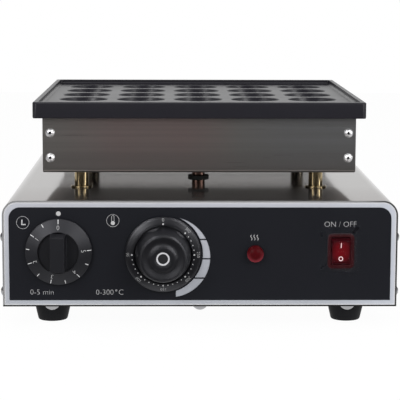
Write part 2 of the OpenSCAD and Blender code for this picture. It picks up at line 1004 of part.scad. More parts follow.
module base_screw_holes(d) {
    for (x = [-base_screw_x, 0, base_screw_x], y = [y_front + base_screw_inset, y_back - base_screw_inset])
        translate([x, y, z_base - sheet_t])
            cylinder(d = d, h = 4 * sheet_t);
}

module housing_shell() {
    color("#b9b6b2")
    difference() {
        along_y(y_front, y_back)
            translate([0, z_inside])
                difference() {
                    arch_rect(housing_w, housing_h - sheet_t, corner_r);
                    translate([0, -sheet_t])
                        arch_rect(inner_w, housing_h - sheet_t, corner_r - sheet_t);
                }
        translate([0, y_mid, z_top - 2 * sheet_t])
            four_corners(post_at, post_at)
                cylinder(d = stud_d + 2 * fit_gap, h = 3 * sheet_t);
        translate([0, y_conduit, z_top - 2 * sheet_t])
            cylinder(d = conduit_d + 2 * fit_gap, h = 3 * sheet_t);
        side_screw_holes(screw_d + 2 * fit_gap);
    }
}

// Steel panel that closes one end of the housing, with folded side and bottom flanges
module end_panel(y0, y1) {
    w = inner_w - 2 * fit_gap;
    h = face_h - fit_gap;
    fold_h = h - corner_r;
    inward = y1 > y0 ? 1 : -1;
    y_far = y0 + inward * flange_d;
    along_y(min(y0, y1), max(y0, y1))
        translate([0, z_inside])
            arch_rect(w, h, corner_r - sheet_t - fit_gap);
    along_y(min(y0, y_far), max(y0, y_far))
        translate([0, z_inside]) {
            translate([-w / 2, 0])
                square([w, sheet_t]);
            for (x = [-w / 2, w / 2 - sheet_t])
                translate([x, 0])
                    square([sheet_t, fold_h]);
        }
}

module front_panel() {
    color("#9b9894")
    difference() {
        end_panel(y_front + face_t, y_front + face_t + sheet_t);
        face_cutouts();
        mechanism_screw_holes();
        side_screw_holes(screw_d + 2 * run_gap);
        base_screw_holes(base_screw_d + 2 * run_gap);
    }
}

// Openings of the control face for shafts, lamp and switch
module face_cutouts() {
    deep = 2 * panel_t;
    at_face(timer_x, timer_drop)
        translate([0, 0, -deep])
            cylinder(d = shaft_d + 2 * shaft_clear, h = 2 * deep);
    at_face(temp_x, temp_drop)
        translate([0, 0, -deep])
            cylinder(d = shaft_d + 2 * shaft_clear, h = 2 * deep);
    at_face(lamp_x, lamp_drop)
        translate([0, 0, -deep])
            cylinder(d = lamp_neck_d + 2 * fit_gap, h = 2 * deep);
    at_face(switch_x, switch_drop)
        translate([-switch_w / 2 - fit_gap, -switch_h / 2 - fit_gap, -deep])
            cube([switch_w + 2 * fit_gap, switch_h + 2 * fit_gap, 2 * deep]);
}

// Countersunk holes under the film for the screws that hold the two mechanisms
module mechanism_screw_holes() {
    for (place = [[timer_x, timer_drop], [temp_x, temp_drop]], side = [-1, 1])
        at_face(place.x, place.y)
            translate([side * mech_screw_x, 0, -film_t])
                sunk_screw(2 * run_gap, 2 * panel_t);
}

module sunk_screw(extra, len) {
    head = face_t + sheet_t;
    translate([0, 0, -head])
        cylinder(d1 = screw_d + extra, d2 = screw_head_d + extra, h = head);
    translate([0, 0, -len])
        cylinder(d = screw_d + extra, h = len);
}

module face_plate() {
    color("#bcbec5")
    difference() {
        along_y(y_front, y_front + face_t)
            translate([0, face_bottom])
                arch_rect(inner_w - 2 * fit_gap, face_h - fit_gap, corner_r - sheet_t - fit_gap);
        face_cutouts();
        mechanism_screw_holes();
    }
}

module legend_film() {
    w = inner_w - 2 * fit_gap - 2 * border_w;
    color("#202126")
    difference() {
        along_y(y_film, y_front)
            translate([0, face_bottom + border_w])
                arch_rect(w, face_h - fit_gap - 2 * border_w, film_corner_r);
        face_cutouts();
        at_face(temp_x, temp_drop)
            translate([0, 0, -2 * film_t])
                linear_extrude(4 * film_t)
                    dial_scale();
    }
}

// Crescent window beside the temperature knob, split by thin lines
module dial_scale() {
    reach = 2 * scale_outer_r;
    difference() {
        translate([scale_shift_x, -scale_shift_z])
            circle(r = scale_outer_r);
        circle(r = scale_inner_r);
        translate([scale_end_x - reach, -reach])
            square([reach, 2 * reach]);
        for (i = [0 : 2])
            translate([0, scale_line_top - i * scale_line_pitch - scale_line_w / 2])
                square([reach, scale_line_w]);
    }
}

module rear_panel() {
    row = (vent_count - 1) * vent_pitch;
    color("#9b9894")
    difference() {
        end_panel(y_back, y_back - sheet_t);
        at_rear(gland_x, z_base + gland_z)
            translate([0, 0, -2 * sheet_t])
                cylinder(d = gland_thread_d + 2 * fit_gap, h = 3 * sheet_t);
        for (i = [0 : vent_count - 1])
            translate([0, y_back - 2 * sheet_t, z_top - vent_drop - vent_len])
                translate([i * vent_pitch - (row + vent_w) / 2, 0, 0])
                    cube([vent_w, 3 * sheet_t, vent_len]);
        side_screw_holes(screw_d + 2 * run_gap);
        base_screw_holes(base_screw_d + 2 * run_gap);
    }
}

module base_plate() {
    row = (vent_count - 1) * vent_pitch;
    color("#55534f")
    difference() {
        translate([-housing_w / 2, y_front, z_base])
            cube([housing_w, housing_d, sheet_t]);
        base_screw_holes(base_screw_d + 2 * fit_gap);
        translate([0, y_mid, z_base - sheet_t])
            four_corners(foot_x, foot_y)
                cylinder(d = foot_screw_d + 2 * fit_gap, h = 3 * sheet_t);
        for (i = [0 : vent_count - 1], side = [-1, 1])
            translate([0, y_mid - base_vent_forward + side * base_vent_spread, z_base - sheet_t])
                translate([i * vent_pitch - (row + vent_w) / 2, -vent_len / 2, 0])
                    cube([vent_w, vent_len, 3 * sheet_t]);
    }
}

module base_screws() {
    color("silver")
    for (x = [-base_screw_x, 0, base_screw_x], y = [y_front + base_screw_inset, y_back - base_screw_inset])
        translate([x, y, z_base])
            rotate([180, 0, 0])
                dome_screw(base_screw_d, base_head_d, base_head_h, screw_len);
}

module side_screws() {
    color("silver")
    for (side = [0, 1], y = [y_front + edge_inset, y_back - edge_inset], z = side_screw_z)
        mirror([side, 0, 0])
            translate([housing_w / 2, y, z])
                rotate([0, 90, 0])
                    dome_screw(screw_d, side_head_d, side_head_h, screw_len);
}

// Feet

module rubber_feet() {
    color("#1f2023")
    translate([0, y_mid, 0])
    four_corners(foot_x, foot_y)
        difference() {
            cylinder(d1 = foot_bottom_d, d2 = foot_top_d, h = foot_h);
            translate([0, 0, -foot_recess_h])
                cylinder(d = foot_recess_d, h = 2 * foot_recess_h);
            cylinder(d = foot_screw_d + 2 * fit_gap, h = 2 * foot_h);
        }
}

module foot_screws() {
    color("silver")
    translate([0, y_mid, foot_recess_h])
    four_corners(foot_x, foot_y) {
        translate([0, 0, -foot_head_h])
            cylinder(d = foot_head_d, h = foot_head_h);
        cylinder(d = foot_screw_d, h = foot_h - foot_recess_h + sheet_t + foot_nut_t + foot_tail);
    }
}

module foot_nuts() {
    color("silver")
    translate([0, y_mid, z_inside])
    four_corners(foot_x, foot_y)
        difference() {
            hex(nut_share * foot_screw_d, foot_nut_t);
            translate([0, 0, -foot_nut_t])
                cylinder(d = foot_screw_d + 2 * run_gap, h = 3 * foot_nut_t);
        }
}

// Timer and thermostat

// Round shaft with a flat at its top, drawn or cut with an extra gap all round
module flat_shaft(gap, z0, z1) {
    r = shaft_d / 2 + gap;
    translate([0, 0, z0])
        linear_extrude(z1 - z0)
            intersection() {
                circle(r = r);
                translate([-r, -r])
                    square([2 * r, 2 * r - shaft_flat]);
            }
}

module control_shaft(knob_h) {
    translate([0, 0, -panel_t - shaft_seat])
        cylinder(d = shaft_d, h = shaft_seat + panel_t);
    flat_shaft(0, 0, knob_h - knob_crown - blind_gap);
}

module mechanism(side, depth) {
    translate([0, 0, -panel_t])
        difference() {
            translate([0, 0, -depth])
                linear_extrude(depth)
                    round_rect(side, side, mech_corner_r);
            translate([0, 0, -shaft_seat - blind_gap])
                cylinder(d = shaft_d + 2 * run_gap, h = 2 * shaft_seat);
            for (x = [-1, 1])
                translate([x * mech_screw_x, 0, -screw_len])
                    cylinder(d = screw_d + 2 * run_gap, h = 2 * screw_len);
        }
}

module timer_body() {
    color("#cfc9b8")
    at_face(timer_x, timer_drop)
        mechanism(timer_body_w, timer_body_d);
}

module thermostat_body() {
    color("#d8d4ca")
    at_face(temp_x, temp_drop)
        mechanism(temp_body_w, temp_body_depth);
}

module timer_shaft() {
    color("#8d8d8a")
    at_face(timer_x, timer_drop)
        control_shaft(timer_h);
}

module thermostat_shaft() {
    color("#8d8d8a")
    at_face(temp_x, temp_drop)
        control_shaft(temp_h);
}

module control_screws() {
    color("silver")
    for (place = [[timer_x, timer_drop], [temp_x, temp_drop]], side = [-1, 1])
        at_face(place.x, place.y)
            translate([side * mech_screw_x, 0, -film_t])
                sunk_screw(0, panel_t - film_t + screw_len - blind_gap);
}

// Low conical dial with two finger wells beside a grip bar
module timer_knob() {
    well_r = timer_well_d / 2;
    grip_root_len = timer_well_d;
    color("#1c1c1f")
    at_face(timer_x, timer_drop)
    difference() {
        union() {
            rotate_extrude()
                polygon([
                    [0, knob_gap],
                    [timer_d / 2, knob_gap],
                    [timer_d / 2, timer_rim_h],
                    [well_r, timer_dial_h],
                    [well_r, timer_floor_h],
                    [0, timer_floor_h]
                ]);
            intersection() {
                translate([0, grip_root_len / 2, 0])
                    rotate([90, 0, 0])
                        linear_extrude(grip_root_len)
                            polygon(trapezoid(grip_root_w, grip_front_w));
                translate([-grip_root_w / 2, 0, 0])
                    rotate([90, 0, 90])
                        linear_extrude(grip_root_w)
                            polygon(trapezoid(grip_root_len, grip_front_len));
            }
        }
        flat_shaft(run_gap, 0, timer_h - knob_crown);
    }
}

// Section of the grip bar: wide at its root, narrow at its front
function trapezoid(root, front) = [
    [-root / 2, knob_gap],
    [root / 2, knob_gap],
    [front / 2, timer_h],
    [-front / 2, timer_h]
];

// Flat dial, a moat round a scalloped body, a dished front and a boss for the disc
module temperature_knob() {
    body_r = temp_body_d / 2;
    front_r = body_r - knob_taper;
    edge = knob_edge_r;
    color("#1c1c1f")
    at_face(temp_x, temp_drop)
    difference() {
        rotate_extrude() {
            polygon([
                [0, knob_gap],
                [temp_d / 2, knob_gap],
                [temp_d / 2, temp_rim_h],
                [body_r + knob_moat_w, temp_dial_h],
                [body_r + knob_moat_w, temp_dial_h - knob_moat_depth],
                [body_r, temp_dial_h - knob_moat_depth],
                [front_r, temp_h - edge],
                [front_r - edge, temp_h - edge],
                [0, temp_h - edge]
            ]);
            translate([front_r - edge, temp_h - edge])
                intersection() {
                    circle(r = edge);
                    translate([-edge, 0])
                        square([2 * edge, edge]);
                }
            translate([0, temp_h - edge])
                polygon([
                    [0, 0],
                    [front_r - edge, 0],
                    [front_r - edge, edge],
                    [temp_boss_d / 2, edge - knob_dish],
                    [temp_boss_d / 2 - knob_dish, edge],
                    [0, edge]
                ]);
        }
        for (i = [0 : scallop_count - 1])
            rotate([0, 0, scallop_turn + i * 360 / scallop_count])
                translate([body_r - scallop_depth + scallop_r, 0, temp_dial_h + scallop_foot])
                    cylinder(r = scallop_r, h = temp_h);
        translate([0, 0, temp_h - disc_t])
            cylinder(d = disc_d + 2 * run_gap, h = 2 * disc_t);
        flat_shaft(run_gap, 0, temp_h - knob_crown);
    }
}

module knob_disc() {
    color("#c3c5c9")
    at_face(temp_x, temp_drop)
        translate([0, 0, temp_h - disc_t])
            difference() {
                cylinder(d = disc_d, h = disc_t - end_gap);
                translate([0, 0, disc_t - end_gap - disc_dish])
                    cylinder(d = disc_d - 2 * disc_rim, h = disc_t);
            }
}

// Lamp and switch

module indicator_lens() {
    dome = lamp_out - lamp_rim;
    dome_r = (pow(lamp_d / 2, 2) + pow(dome, 2)) / (2 * dome);
    color("#a3161c")
    at_face(lamp_x, lamp_drop) {
        cylinder(d = lamp_d, h = lamp_rim);
        intersection() {
            translate([0, 0, lamp_out - dome_r])
                sphere(r = dome_r);
            cylinder(d = lamp_d, h = lamp_out);
        }
        translate([0, 0, -panel_t - lamp_seat])
            cylinder(d = lamp_neck_d, h = panel_t + lamp_seat);
    }
}

module indicator_body() {
    color("#e2dfd6")
    at_face(lamp_x, lamp_drop)
        translate([0, 0, -panel_t - lamp_body_len])
            difference() {
                cylinder(d = lamp_d, h = lamp_body_len);
                translate([0, 0, lamp_body_len - lamp_seat - blind_gap])
                    cylinder(d = lamp_neck_d + 2 * run_gap, h = 2 * lamp_seat);
            }
}

module switch_boot() {
    color([0.85, 0.87, 0.9, 0.4])
    at_face(switch_x, switch_drop)
    difference() {
        union() {
            linear_extrude(boot_t)
                round_rect(boot_w, boot_h, boot_corner_r);
            linear_extrude(dome_out)
                round_rect(dome_w, dome_h, dome_corner_r);
        }
        translate([0, 0, -boot_t])
            linear_extrude(dome_out - dome_t + boot_t)
                round_rect(dome_w - 2 * dome_t, dome_h - 2 * dome_t, dome_corner_r - dome_t);
    }
}

module switch_housing() {
    color("#151517")
    at_face(switch_x, switch_drop)
    difference() {
        union() {
            linear_extrude(bezel_t)
                round_rect(bezel_w, bezel_h, bezel_corner_r);
            translate([-switch_w / 2, -switch_h / 2, -switch_depth])
                cube([switch_w, switch_h, switch_depth]);
        }
        translate([-well_w / 2, -well_h / 2, -well_depth])
            cube([well_w, well_h, well_depth + 2 * bezel_t]);
        translate([-switch_w, 0, -pivot_depth])
            rotate([0, 90, 0])
                cylinder(d = rocker_pin_d + 2 * run_gap, h = 2 * switch_w);
    }
}

// Rocker at rest with its lower end pressed in
module switch_rocker() {
    pin = switch_w - rocker_gap;
    color("#b3141a")
    at_face(switch_x, switch_drop)
    translate([0, 0, -pivot_depth])
    rotate([rocker_tilt, 0, 0]) {
        translate([-rocker_w / 2, 0, 0])
            rotate([90, 0, 90])
                linear_extrude(rocker_w)
                    intersection() {
                        circle(r = rocker_r);
                        difference() {
                            translate([-rocker_r, -rocker_back])
                                square([2 * rocker_r, 2 * rocker_r]);
                            translate([0, rocker_mid + rocker_dish_r])
                                circle(r = rocker_dish_r);
                        }
                    }
        translate([-pin / 2, 0, 0])
            rotate([0, 90, 0])
                cylinder(d = rocker_pin_d, h = pin);
    }
}

// Wiring inside the housing

module control_terminals() {
    color("#c9b27a")
    for (b = concat([timer_blade, temp_blade], switch_blades))
        translate([b.x - blade_w / 2, y_film + b.z, z_top - b.y - blade_t / 2])
            cube([blade_w, blade_len, blade_t]);
}

module terminal_block() {
    color("#e8e4d8")
    translate([-block_w / 2, y_block - block_d / 2, z_inside])
        cube([block_w, block_d, block_h]);
}

// Wire from the front of the terminal block to a blade, turning sideways in its own lane
module control_lead(pole, lane, blade) {
    y_blade = y_film + blade.z + blade_len + end_gap;
    wire([
        [pole * block_pole, y_block - block_d / 2 - end_gap, z_wire],
        [pole * block_pole, lane, z_wire],
        [blade.x, lane, z_wire],
        [blade.x, y_blade + lead_rise, z_wire],
        [blade.x, y_blade + lead_rise, z_top - blade.y],
        [blade.x, y_blade, z_top - blade.y]
    ], wire_d);
}

module control_leads() {
    near = y_block - block_d;
    far = near - lane_pitch;
    color("#b5302a")
    control_lead(-2, near, timer_blade);
    color("#2f5fb0")
    control_lead(-1, far, temp_blade);
    color("#3a3a3c")
    control_lead(1, far, switch_blades[0]);
    color("#7a5a3a")
    control_lead(2, near, switch_blades[1]);
}

// Cable gland

module cable_gland() {
    color("#1a1a1c")
    at_rear(gland_x, z_base + gland_z)
    difference() {
        union() {
            hex(gland_hex, gland_foot);
            translate([0, 0, gland_foot])
                cylinder(d1 = gland_cone_d, d2 = gland_tip_d, h = gland_out - gland_foot);
            translate([0, 0, -sheet_t - gland_inside])
                cylinder(d = gland_thread_d, h = sheet_t + gland_inside);
        }
        translate([0, 0, -2 * gland_out])
            cylinder(d = gland_bore_d, h = 4 * gland_out);
    }
}

module gland_nut() {
    color("#1a1a1c")
    at_rear(gland_x, z_base + gland_z)
    translate([0, 0, -sheet_t - gland_nut_t])
        difference() {
            hex(gland_hex, gland_nut_t);
            translate([0, 0, -gland_nut_t])
                cylinder(d = gland_thread_d + 2 * run_gap, h = 3 * gland_nut_t);
        }
}

griddle_plate();
heater_box_tray();
heater_box_front();
heater_box_rear();
heater_box_screws();
support_posts();
post_washers();
wire_conduit();
conduit_grommet();
housing_shell();
front_panel();
face_plate();
legend_film();
timer_knob();
temperature_knob();
knob_disc();
indicator_lens();
switch_boot();
switch_rocker();
switch_housing();
base_plate();
base_screws();
side_screws();
rubber_feet();
timer_body();
timer_shaft();
thermostat_body();
thermostat_shaft();
control_screws();
capillary_tube();
sensor_bulb();
bulb_clip();
clip_screws();
heating_element();
element_terminals();
element_clamps();
clamp_bolts();
reflector_plate();
insulation_pad();
heater_leads();
tie_studs();
tie_nuts();
tie_washers();
indicator_body();
control_terminals();
terminal_block();
control_leads();
rear_panel();
cable_gland();
gland_nut();
foot_screws();
foot_nuts();
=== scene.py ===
import math

import bmesh
import bpy
from mathutils import Euler, Matrix, Vector


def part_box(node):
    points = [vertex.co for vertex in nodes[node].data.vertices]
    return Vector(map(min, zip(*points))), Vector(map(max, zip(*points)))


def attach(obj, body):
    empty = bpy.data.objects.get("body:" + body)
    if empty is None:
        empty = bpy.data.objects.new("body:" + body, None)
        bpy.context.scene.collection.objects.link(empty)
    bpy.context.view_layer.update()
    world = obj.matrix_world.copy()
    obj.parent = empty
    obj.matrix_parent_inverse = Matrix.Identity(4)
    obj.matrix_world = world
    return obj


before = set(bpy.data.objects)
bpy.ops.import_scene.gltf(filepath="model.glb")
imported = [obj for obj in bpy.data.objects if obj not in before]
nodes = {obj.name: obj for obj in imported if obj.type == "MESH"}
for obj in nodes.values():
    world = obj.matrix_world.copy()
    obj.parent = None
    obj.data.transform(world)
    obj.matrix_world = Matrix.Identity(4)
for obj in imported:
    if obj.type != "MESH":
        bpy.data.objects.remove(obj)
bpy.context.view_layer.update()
scene = bpy.context.scene
scene.view_settings.view_transform = "Standard"

# Camera: a long lens well in front of the machine and a little above its pan, looking slightly down.
# It stands a touch to the left and is turned to the right by about the same small angle.
picture_pixels = 400
focal_pixels = 1566.9
sensor_mm = 36.0
camera_place = Vector((-0.02353, -1.47605, 0.29591))
camera_pitch = math.radians(8.2894)
camera_yaw = math.radians(1.0305)
camera_roll = math.radians(0.1745)

camera_data = bpy.data.cameras.new("camera")
camera_data.sensor_width = sensor_mm
camera_data.lens = sensor_mm * focal_pixels / picture_pixels
camera = bpy.data.objects.new("camera", camera_data)
aim = Euler((math.pi / 2 - camera_pitch, 0, -camera_yaw)).to_matrix().to_4x4()
camera.matrix_world = Matrix.Translation(camera_place) @ aim @ Matrix.Rotation(camera_roll, 4, "Z")
scene.collection.objects.link(camera)
scene.camera = camera

# Rubber feet: four moulded tapered feet of black rubber, each held by a screw sunk in its hollow.
# The rubber is matte, with a fine mould texture and a paler bloom where it is handled.
MM = 0.001
seam_gap = 0.002 * MM
sharp_edge = math.radians(32)


def new_finish(name, colour, roughness, metallic=0.0, **sockets):
    """A material with one Principled shader; returns it, its node tree and the shader."""
    material = bpy.data.materials.new(name)
    material.use_nodes = True
    shader = material.node_tree.nodes["Principled BSDF"]
    shader.inputs["Base Color"].default_value = (*colour, 1.0)
    shader.inputs["Roughness"].default_value = roughness
    shader.inputs["Metallic"].default_value = metallic
    for socket, value in sockets.items():
        shader.inputs[socket.replace("_", " ").title().replace("Ior", "IOR")].default_value = value
    return material, material.node_tree, shader


def new_effect(name, inputs, outputs):
    """An empty node group with float inputs (name: value) and float outputs (names)."""
    group = bpy.data.node_groups.new(name, "ShaderNodeTree")
    for label, value in inputs.items():
        socket = group.interface.new_socket(label, in_out="INPUT", socket_type="NodeSocketFloat")
        socket.default_value = value
    for label in outputs:
        group.interface.new_socket(label, in_out="OUTPUT", socket_type="NodeSocketFloat")
    start = group.nodes.new("NodeGroupInput")
    end = group.nodes.new("NodeGroupOutput")
    return group, start, end


def use_effect(tree, group, **values):
    """Places an effect in a material with its own input values."""
    node = tree.nodes.new("ShaderNodeGroup")
    node.node_tree = group
    for label, value in values.items():
        node.inputs[label.title()].default_value = value
    return node


def between(tree, value, low, high, start=0.0, end=1.0):
    """Spreads a value that runs from start to end over a range of numbers, and holds it at the ends."""
    node = tree.nodes.new("ShaderNodeMapRange")
    tree.links.new(value, node.inputs["Value"])
    ends = {"From Min": start, "From Max": end, "To Min": low, "To Max": high}
    for socket, number in ends.items():
        node.inputs[socket].default_value = number
    return node.outputs["Result"]


def blend_colours(tree, mask, first, second):
    """Mixes two colours, each a triple or a socket, by a mask."""
    node = tree.nodes.new("ShaderNodeMix")
    node.data_type = "RGBA"
    tree.links.new(mask, node.inputs["Factor"])
    for slot, colour in (("A", first), ("B", second)):
        if isinstance(colour, tuple):
            node.inputs[slot].default_value = (*colour, 1.0)
        else:
            tree.links.new(colour, node.inputs[slot])
    return node.outputs["Result"]


def paint(tree, shader, mask, first, second):
    """Gives a shader two colours, mixed by a mask."""
    tree.links.new(blend_colours(tree, mask, first, second), shader.inputs["Base Color"])


def gloss(tree, shader, mask, low, high):
    """Gives a shader a roughness that a mask takes from low to high."""
    tree.links.new(between(tree, mask, low, high), shader.inputs["Roughness"])


def emboss(tree, shader, height, depth, strength):
    """Feeds a height through a Bump node, which it returns, into a shader's or another bump's normal."""
    bump = tree.nodes.new("ShaderNodeBump")
    bump.inputs["Distance"].default_value = depth
    bump.inputs["Strength"].default_value = strength
    tree.links.new(height, bump.inputs["Height"])
    tree.links.new(bump.outputs["Normal"], shader.inputs["Normal"])
    return bump


def make_speckle():
    """Fine even grain of a moulded or cast skin, with slow blotches over it."""
    group, start, end = new_effect("speckle", {"Grain": 1800.0, "Blotch": 30.0}, ("Fine", "Slow"))
    place = group.nodes.new("ShaderNodeTexCoord")
    for label, source, detail in (("Fine", "Grain", 2.0), ("Slow", "Blotch", 4.0)):
        noise = group.nodes.new("ShaderNodeTexNoise")
        noise.inputs["Detail"].default_value = detail
        group.links.new(place.outputs["Object"], noise.inputs["Vector"])
        group.links.new(start.outputs[source], noise.inputs["Scale"])
        group.links.new(noise.outputs["Fac"], end.inputs[label])
    return group


speckle = make_speckle()


def dress(node, material, bevel=0.0, segments=2):
    """Gives a CAD node its finish and, where asked, softened edges."""
    piece = nodes[node]
    piece.data.materials.clear()
    piece.data.materials.append(material)
    piece.data.polygons.foreach_set("use_smooth", [True] * len(piece.data.polygons))
    if not bevel:
        return
    weld = piece.modifiers.new("close_seams", "WELD")
    weld.merge_threshold = seam_gap
    soften = piece.modifiers.new("soft_edges", "BEVEL")
    soften.width = bevel
    soften.segments = segments
    soften.limit_method = "ANGLE"
    soften.angle_limit = sharp_edge
    soften.use_clamp_overlap = True
    even = piece.modifiers.new("even_shading", "WEIGHTED_NORMAL")
    even.keep_sharp = True


def moulded(name, colour, pale, roughness, grain, depth, shine=0.28):
    """Moulded rubber or plastic: mould grain in the surface and slow changes of shade and gloss."""
    swing = 0.07
    material, tree, shader = new_finish(name, colour, roughness, specular_ior_level=shine)
    skin = use_effect(tree, speckle, grain=grain)
    paint(tree, shader, skin.outputs["Slow"], colour, pale)
    gloss(tree, shader, skin.outputs["Slow"], roughness - swing, roughness + swing)
    emboss(tree, shader, skin.outputs["Fine"], depth, strength=0.5)
    return material


black_rubber = moulded(
    "black_rubber", (0.0060, 0.0062, 0.0078), (0.0085, 0.0088, 0.0106),
    roughness=0.6, grain=2200.0, depth=0.05 * MM, shine=0.17,
)
dress("rubber_feet", black_rubber, bevel=1.0 * MM, segments=3)


def bright_metal(name, colour, roughness):
    """Turned, drawn or plated metal of screws, pins and tubes: clean and shiny, with faint handling marks."""
    polished, handled = roughness - 0.06, roughness + 0.1
    material, tree, shader = new_finish(name, colour, roughness, metallic=1.0)
    skin = use_effect(tree, speckle, grain=900.0, blotch=160.0)
    gloss(tree, shader, skin.outputs["Slow"], polished, handled)
    emboss(tree, shader, skin.outputs["Fine"], depth=0.01 * MM, strength=0.3)
    return material


screw_plate = bright_metal("screw_plate", (0.78, 0.78, 0.79), roughness=0.2)
for fastener in ("foot_screws", "foot_nuts"):
    dress(fastener, screw_plate)

# Base plate: a flat sheet of plain steel that closes the housing from below, with two rows of air slots.
# Dome-head screws hold it along the front and rear edges.
brush_depth = 0.012 * MM


def calculate(tree, operation, first, second=0.0):
    """A Math node; each operand is a number or a socket."""
    node = tree.nodes.new("ShaderNodeMath")
    node.operation = operation
    for slot, operand in zip(node.inputs, (first, second)):
        if isinstance(operand, (int, float)):
            slot.default_value = operand
        else:
            tree.links.new(operand, slot)
    return node.outputs[0]


def parts_of(tree, what):
    """The X, Y and Z of a point of the surface (Object) or of the way that it faces (Normal)."""
    place = tree.nodes.new("ShaderNodeTexCoord")
    part = tree.nodes.new("ShaderNodeSeparateXYZ")
    tree.links.new(place.outputs[what], part.inputs[0])
    return part.outputs


def make_brushing():
    """Fine straight scratches of brushed sheet: along X, or along Y on faces that look sideways."""
    side_limit = 0.6
    first_vector, second_vector, mixed_vector = 4, 5, 1
    group, start, end = new_effect("brushing", {"Across": 1500.0, "Along": 10.0}, ("Lines", "Cloud"))
    facing = calculate(group, "ABSOLUTE", parts_of(group, "Normal")["X"])
    sideways = calculate(group, "GREATER_THAN", facing, side_limit)
    pick = group.nodes.new("ShaderNodeMix")
    pick.data_type = "VECTOR"
    group.links.new(sideways, pick.inputs["Factor"])
    orders = {first_vector: ("Along", "Across", "Across"), second_vector: ("Across", "Along", "Across")}
    for slot, order in orders.items():
        stretch = group.nodes.new("ShaderNodeCombineXYZ")
        for axis, source in zip("XYZ", order):
            group.links.new(start.outputs[source], stretch.inputs[axis])
        group.links.new(stretch.outputs[0], pick.inputs[slot])
    place = group.nodes.new("ShaderNodeTexCoord")
    scaled = group.nodes.new("ShaderNodeVectorMath")
    scaled.operation = "MULTIPLY"
    group.links.new(place.outputs["Object"], scaled.inputs[0])
    group.links.new(pick.outputs[mixed_vector], scaled.inputs[1])
    for label, source, scale in (("Lines", scaled.outputs[0], 1.0), ("Cloud", place.outputs["Object"], 9.0)):
        noise = group.nodes.new("ShaderNodeTexNoise")
        noise.inputs["Scale"].default_value = scale
        noise.inputs["Detail"].default_value = 3.0
        group.links.new(source, noise.inputs["Vector"])
        group.links.new(noise.outputs["Fac"], end.inputs[label])
    return group


brushing = make_brushing()


def brushed_steel(name, colour, tint, roughness, strength=0.35, glance=1.0):
    """Brushed sheet steel: scratch lines in relief, with slow changes of tint and gloss."""
    swing = 0.05
    material, tree, shader = new_finish(
        name, colour, roughness, metallic=1.0, specular_tint=(glance, glance, glance, 1.0)
    )
    scratch = use_effect(tree, brushing)
    paint(tree, shader, scratch.outputs["Cloud"], colour, tint)
    gloss(tree, shader, scratch.outputs["Lines"], roughness - swing, roughness + swing)
    emboss(tree, shader, scratch.outputs["Lines"], brush_depth, strength)
    return material


plain_sheet = brushed_steel(
    "plain_sheet", (0.034, 0.034, 0.033), (0.024, 0.024, 0.023), roughness=0.5, glance=0.6
)
dress("base_plate", plain_sheet)
dull_zinc = bright_metal("dull_zinc", (0.40, 0.40, 0.41), roughness=0.32)
dress("base_screws", dull_zinc)

# Rear panel: a folded steel panel with a row of upright air slots.
# The cable comes in through a black plastic gland that is locked by a nut inside.
stainless_sheet = brushed_steel(
    "stainless_sheet", (0.37, 0.36, 0.35), (0.33, 0.32, 0.305), roughness=0.12, strength=0.12, glance=0.75
)
dress("rear_panel", stainless_sheet)
gland_plastic = moulded(
    "gland_plastic", (0.014, 0.014, 0.015), (0.020, 0.020, 0.021),
    roughness=0.42, grain=1500.0, depth=0.03 * MM,
)
dress("cable_gland", gland_plastic, bevel=0.6 * MM)
dress("gland_nut", gland_plastic)

# Works inside the housing: the timer and thermostat in cream plastic cases, the lamp holder, a terminal
# block, brass blades and coloured wires. They only show through the slots.
works_plastic = moulded(
    "works_plastic", (0.62, 0.58, 0.47), (0.54, 0.50, 0.40), roughness=0.5, grain=1400.0, depth=0.03 * MM
)
for works in ("timer_body", "thermostat_body", "indicator_body", "terminal_block"):
    dress(works, works_plastic)
terminal_brass = bright_metal("terminal_brass", (0.62, 0.45, 0.18), roughness=0.3)
for contact in ("control_terminals", "element_terminals"):
    dress(contact, terminal_brass)
wire_sleeve = moulded(
    "wire_sleeve", (0.20, 0.03, 0.025), (0.15, 0.02, 0.02), roughness=0.45, grain=1600.0, depth=0.02 * MM
)
dress("control_leads", wire_sleeve)
lead_sleeve = moulded(
    "lead_sleeve", (0.50, 0.47, 0.40), (0.42, 0.39, 0.33), roughness=0.8, grain=2600.0, depth=0.06 * MM
)
dress("heater_leads", lead_sleeve)
drawn_copper = bright_metal("drawn_copper", (0.50, 0.25, 0.14), roughness=0.3)
for tube in ("capillary_tube", "sensor_bulb"):
    dress(tube, drawn_copper)

# Front panel and face: a steel panel carries a thin silver plate, and a black film is laid over it
# so that a silver border stays free all round. Screws of the works are hidden under the film.
dress("front_panel", stainless_sheet)
dress("control_screws", screw_plate)
plate_low, plate_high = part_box("face_plate")


def ramp_along(tree, axis, start, end):
    """A mask that rises from 0 to 1 between two places along an axis of the machine."""
    return between(tree, parts_of(tree, "Object")[axis], 0.0, 1.0, start, end)


def make_edge_rub():
    """A mask that is bright along outer edges: where handling wears a coat, and where the silver rim gets a
    painted highlight.
    """
    flat_match, edge_match = 0.98, 0.72
    group, start, end = new_effect("edge_wear_and_sheen", {"Reach": 0.8 * MM}, ("Edge",))
    rounded = group.nodes.new("ShaderNodeBevel")
    rounded.samples = 4
    group.links.new(start.outputs["Reach"], rounded.inputs["Radius"])
    plain = group.nodes.new("ShaderNodeNewGeometry")
    match = group.nodes.new("ShaderNodeVectorMath")
    match.operation = "DOT_PRODUCT"
    group.links.new(rounded.outputs["Normal"], match.inputs[0])
    group.links.new(plain.outputs["Normal"], match.inputs[1])
    edge = between(group, match.outputs["Value"], 0.0, 1.0, flat_match, edge_match)
    group.links.new(edge, end.inputs["Edge"])
    return group


edge_wear_and_sheen = make_edge_rub()


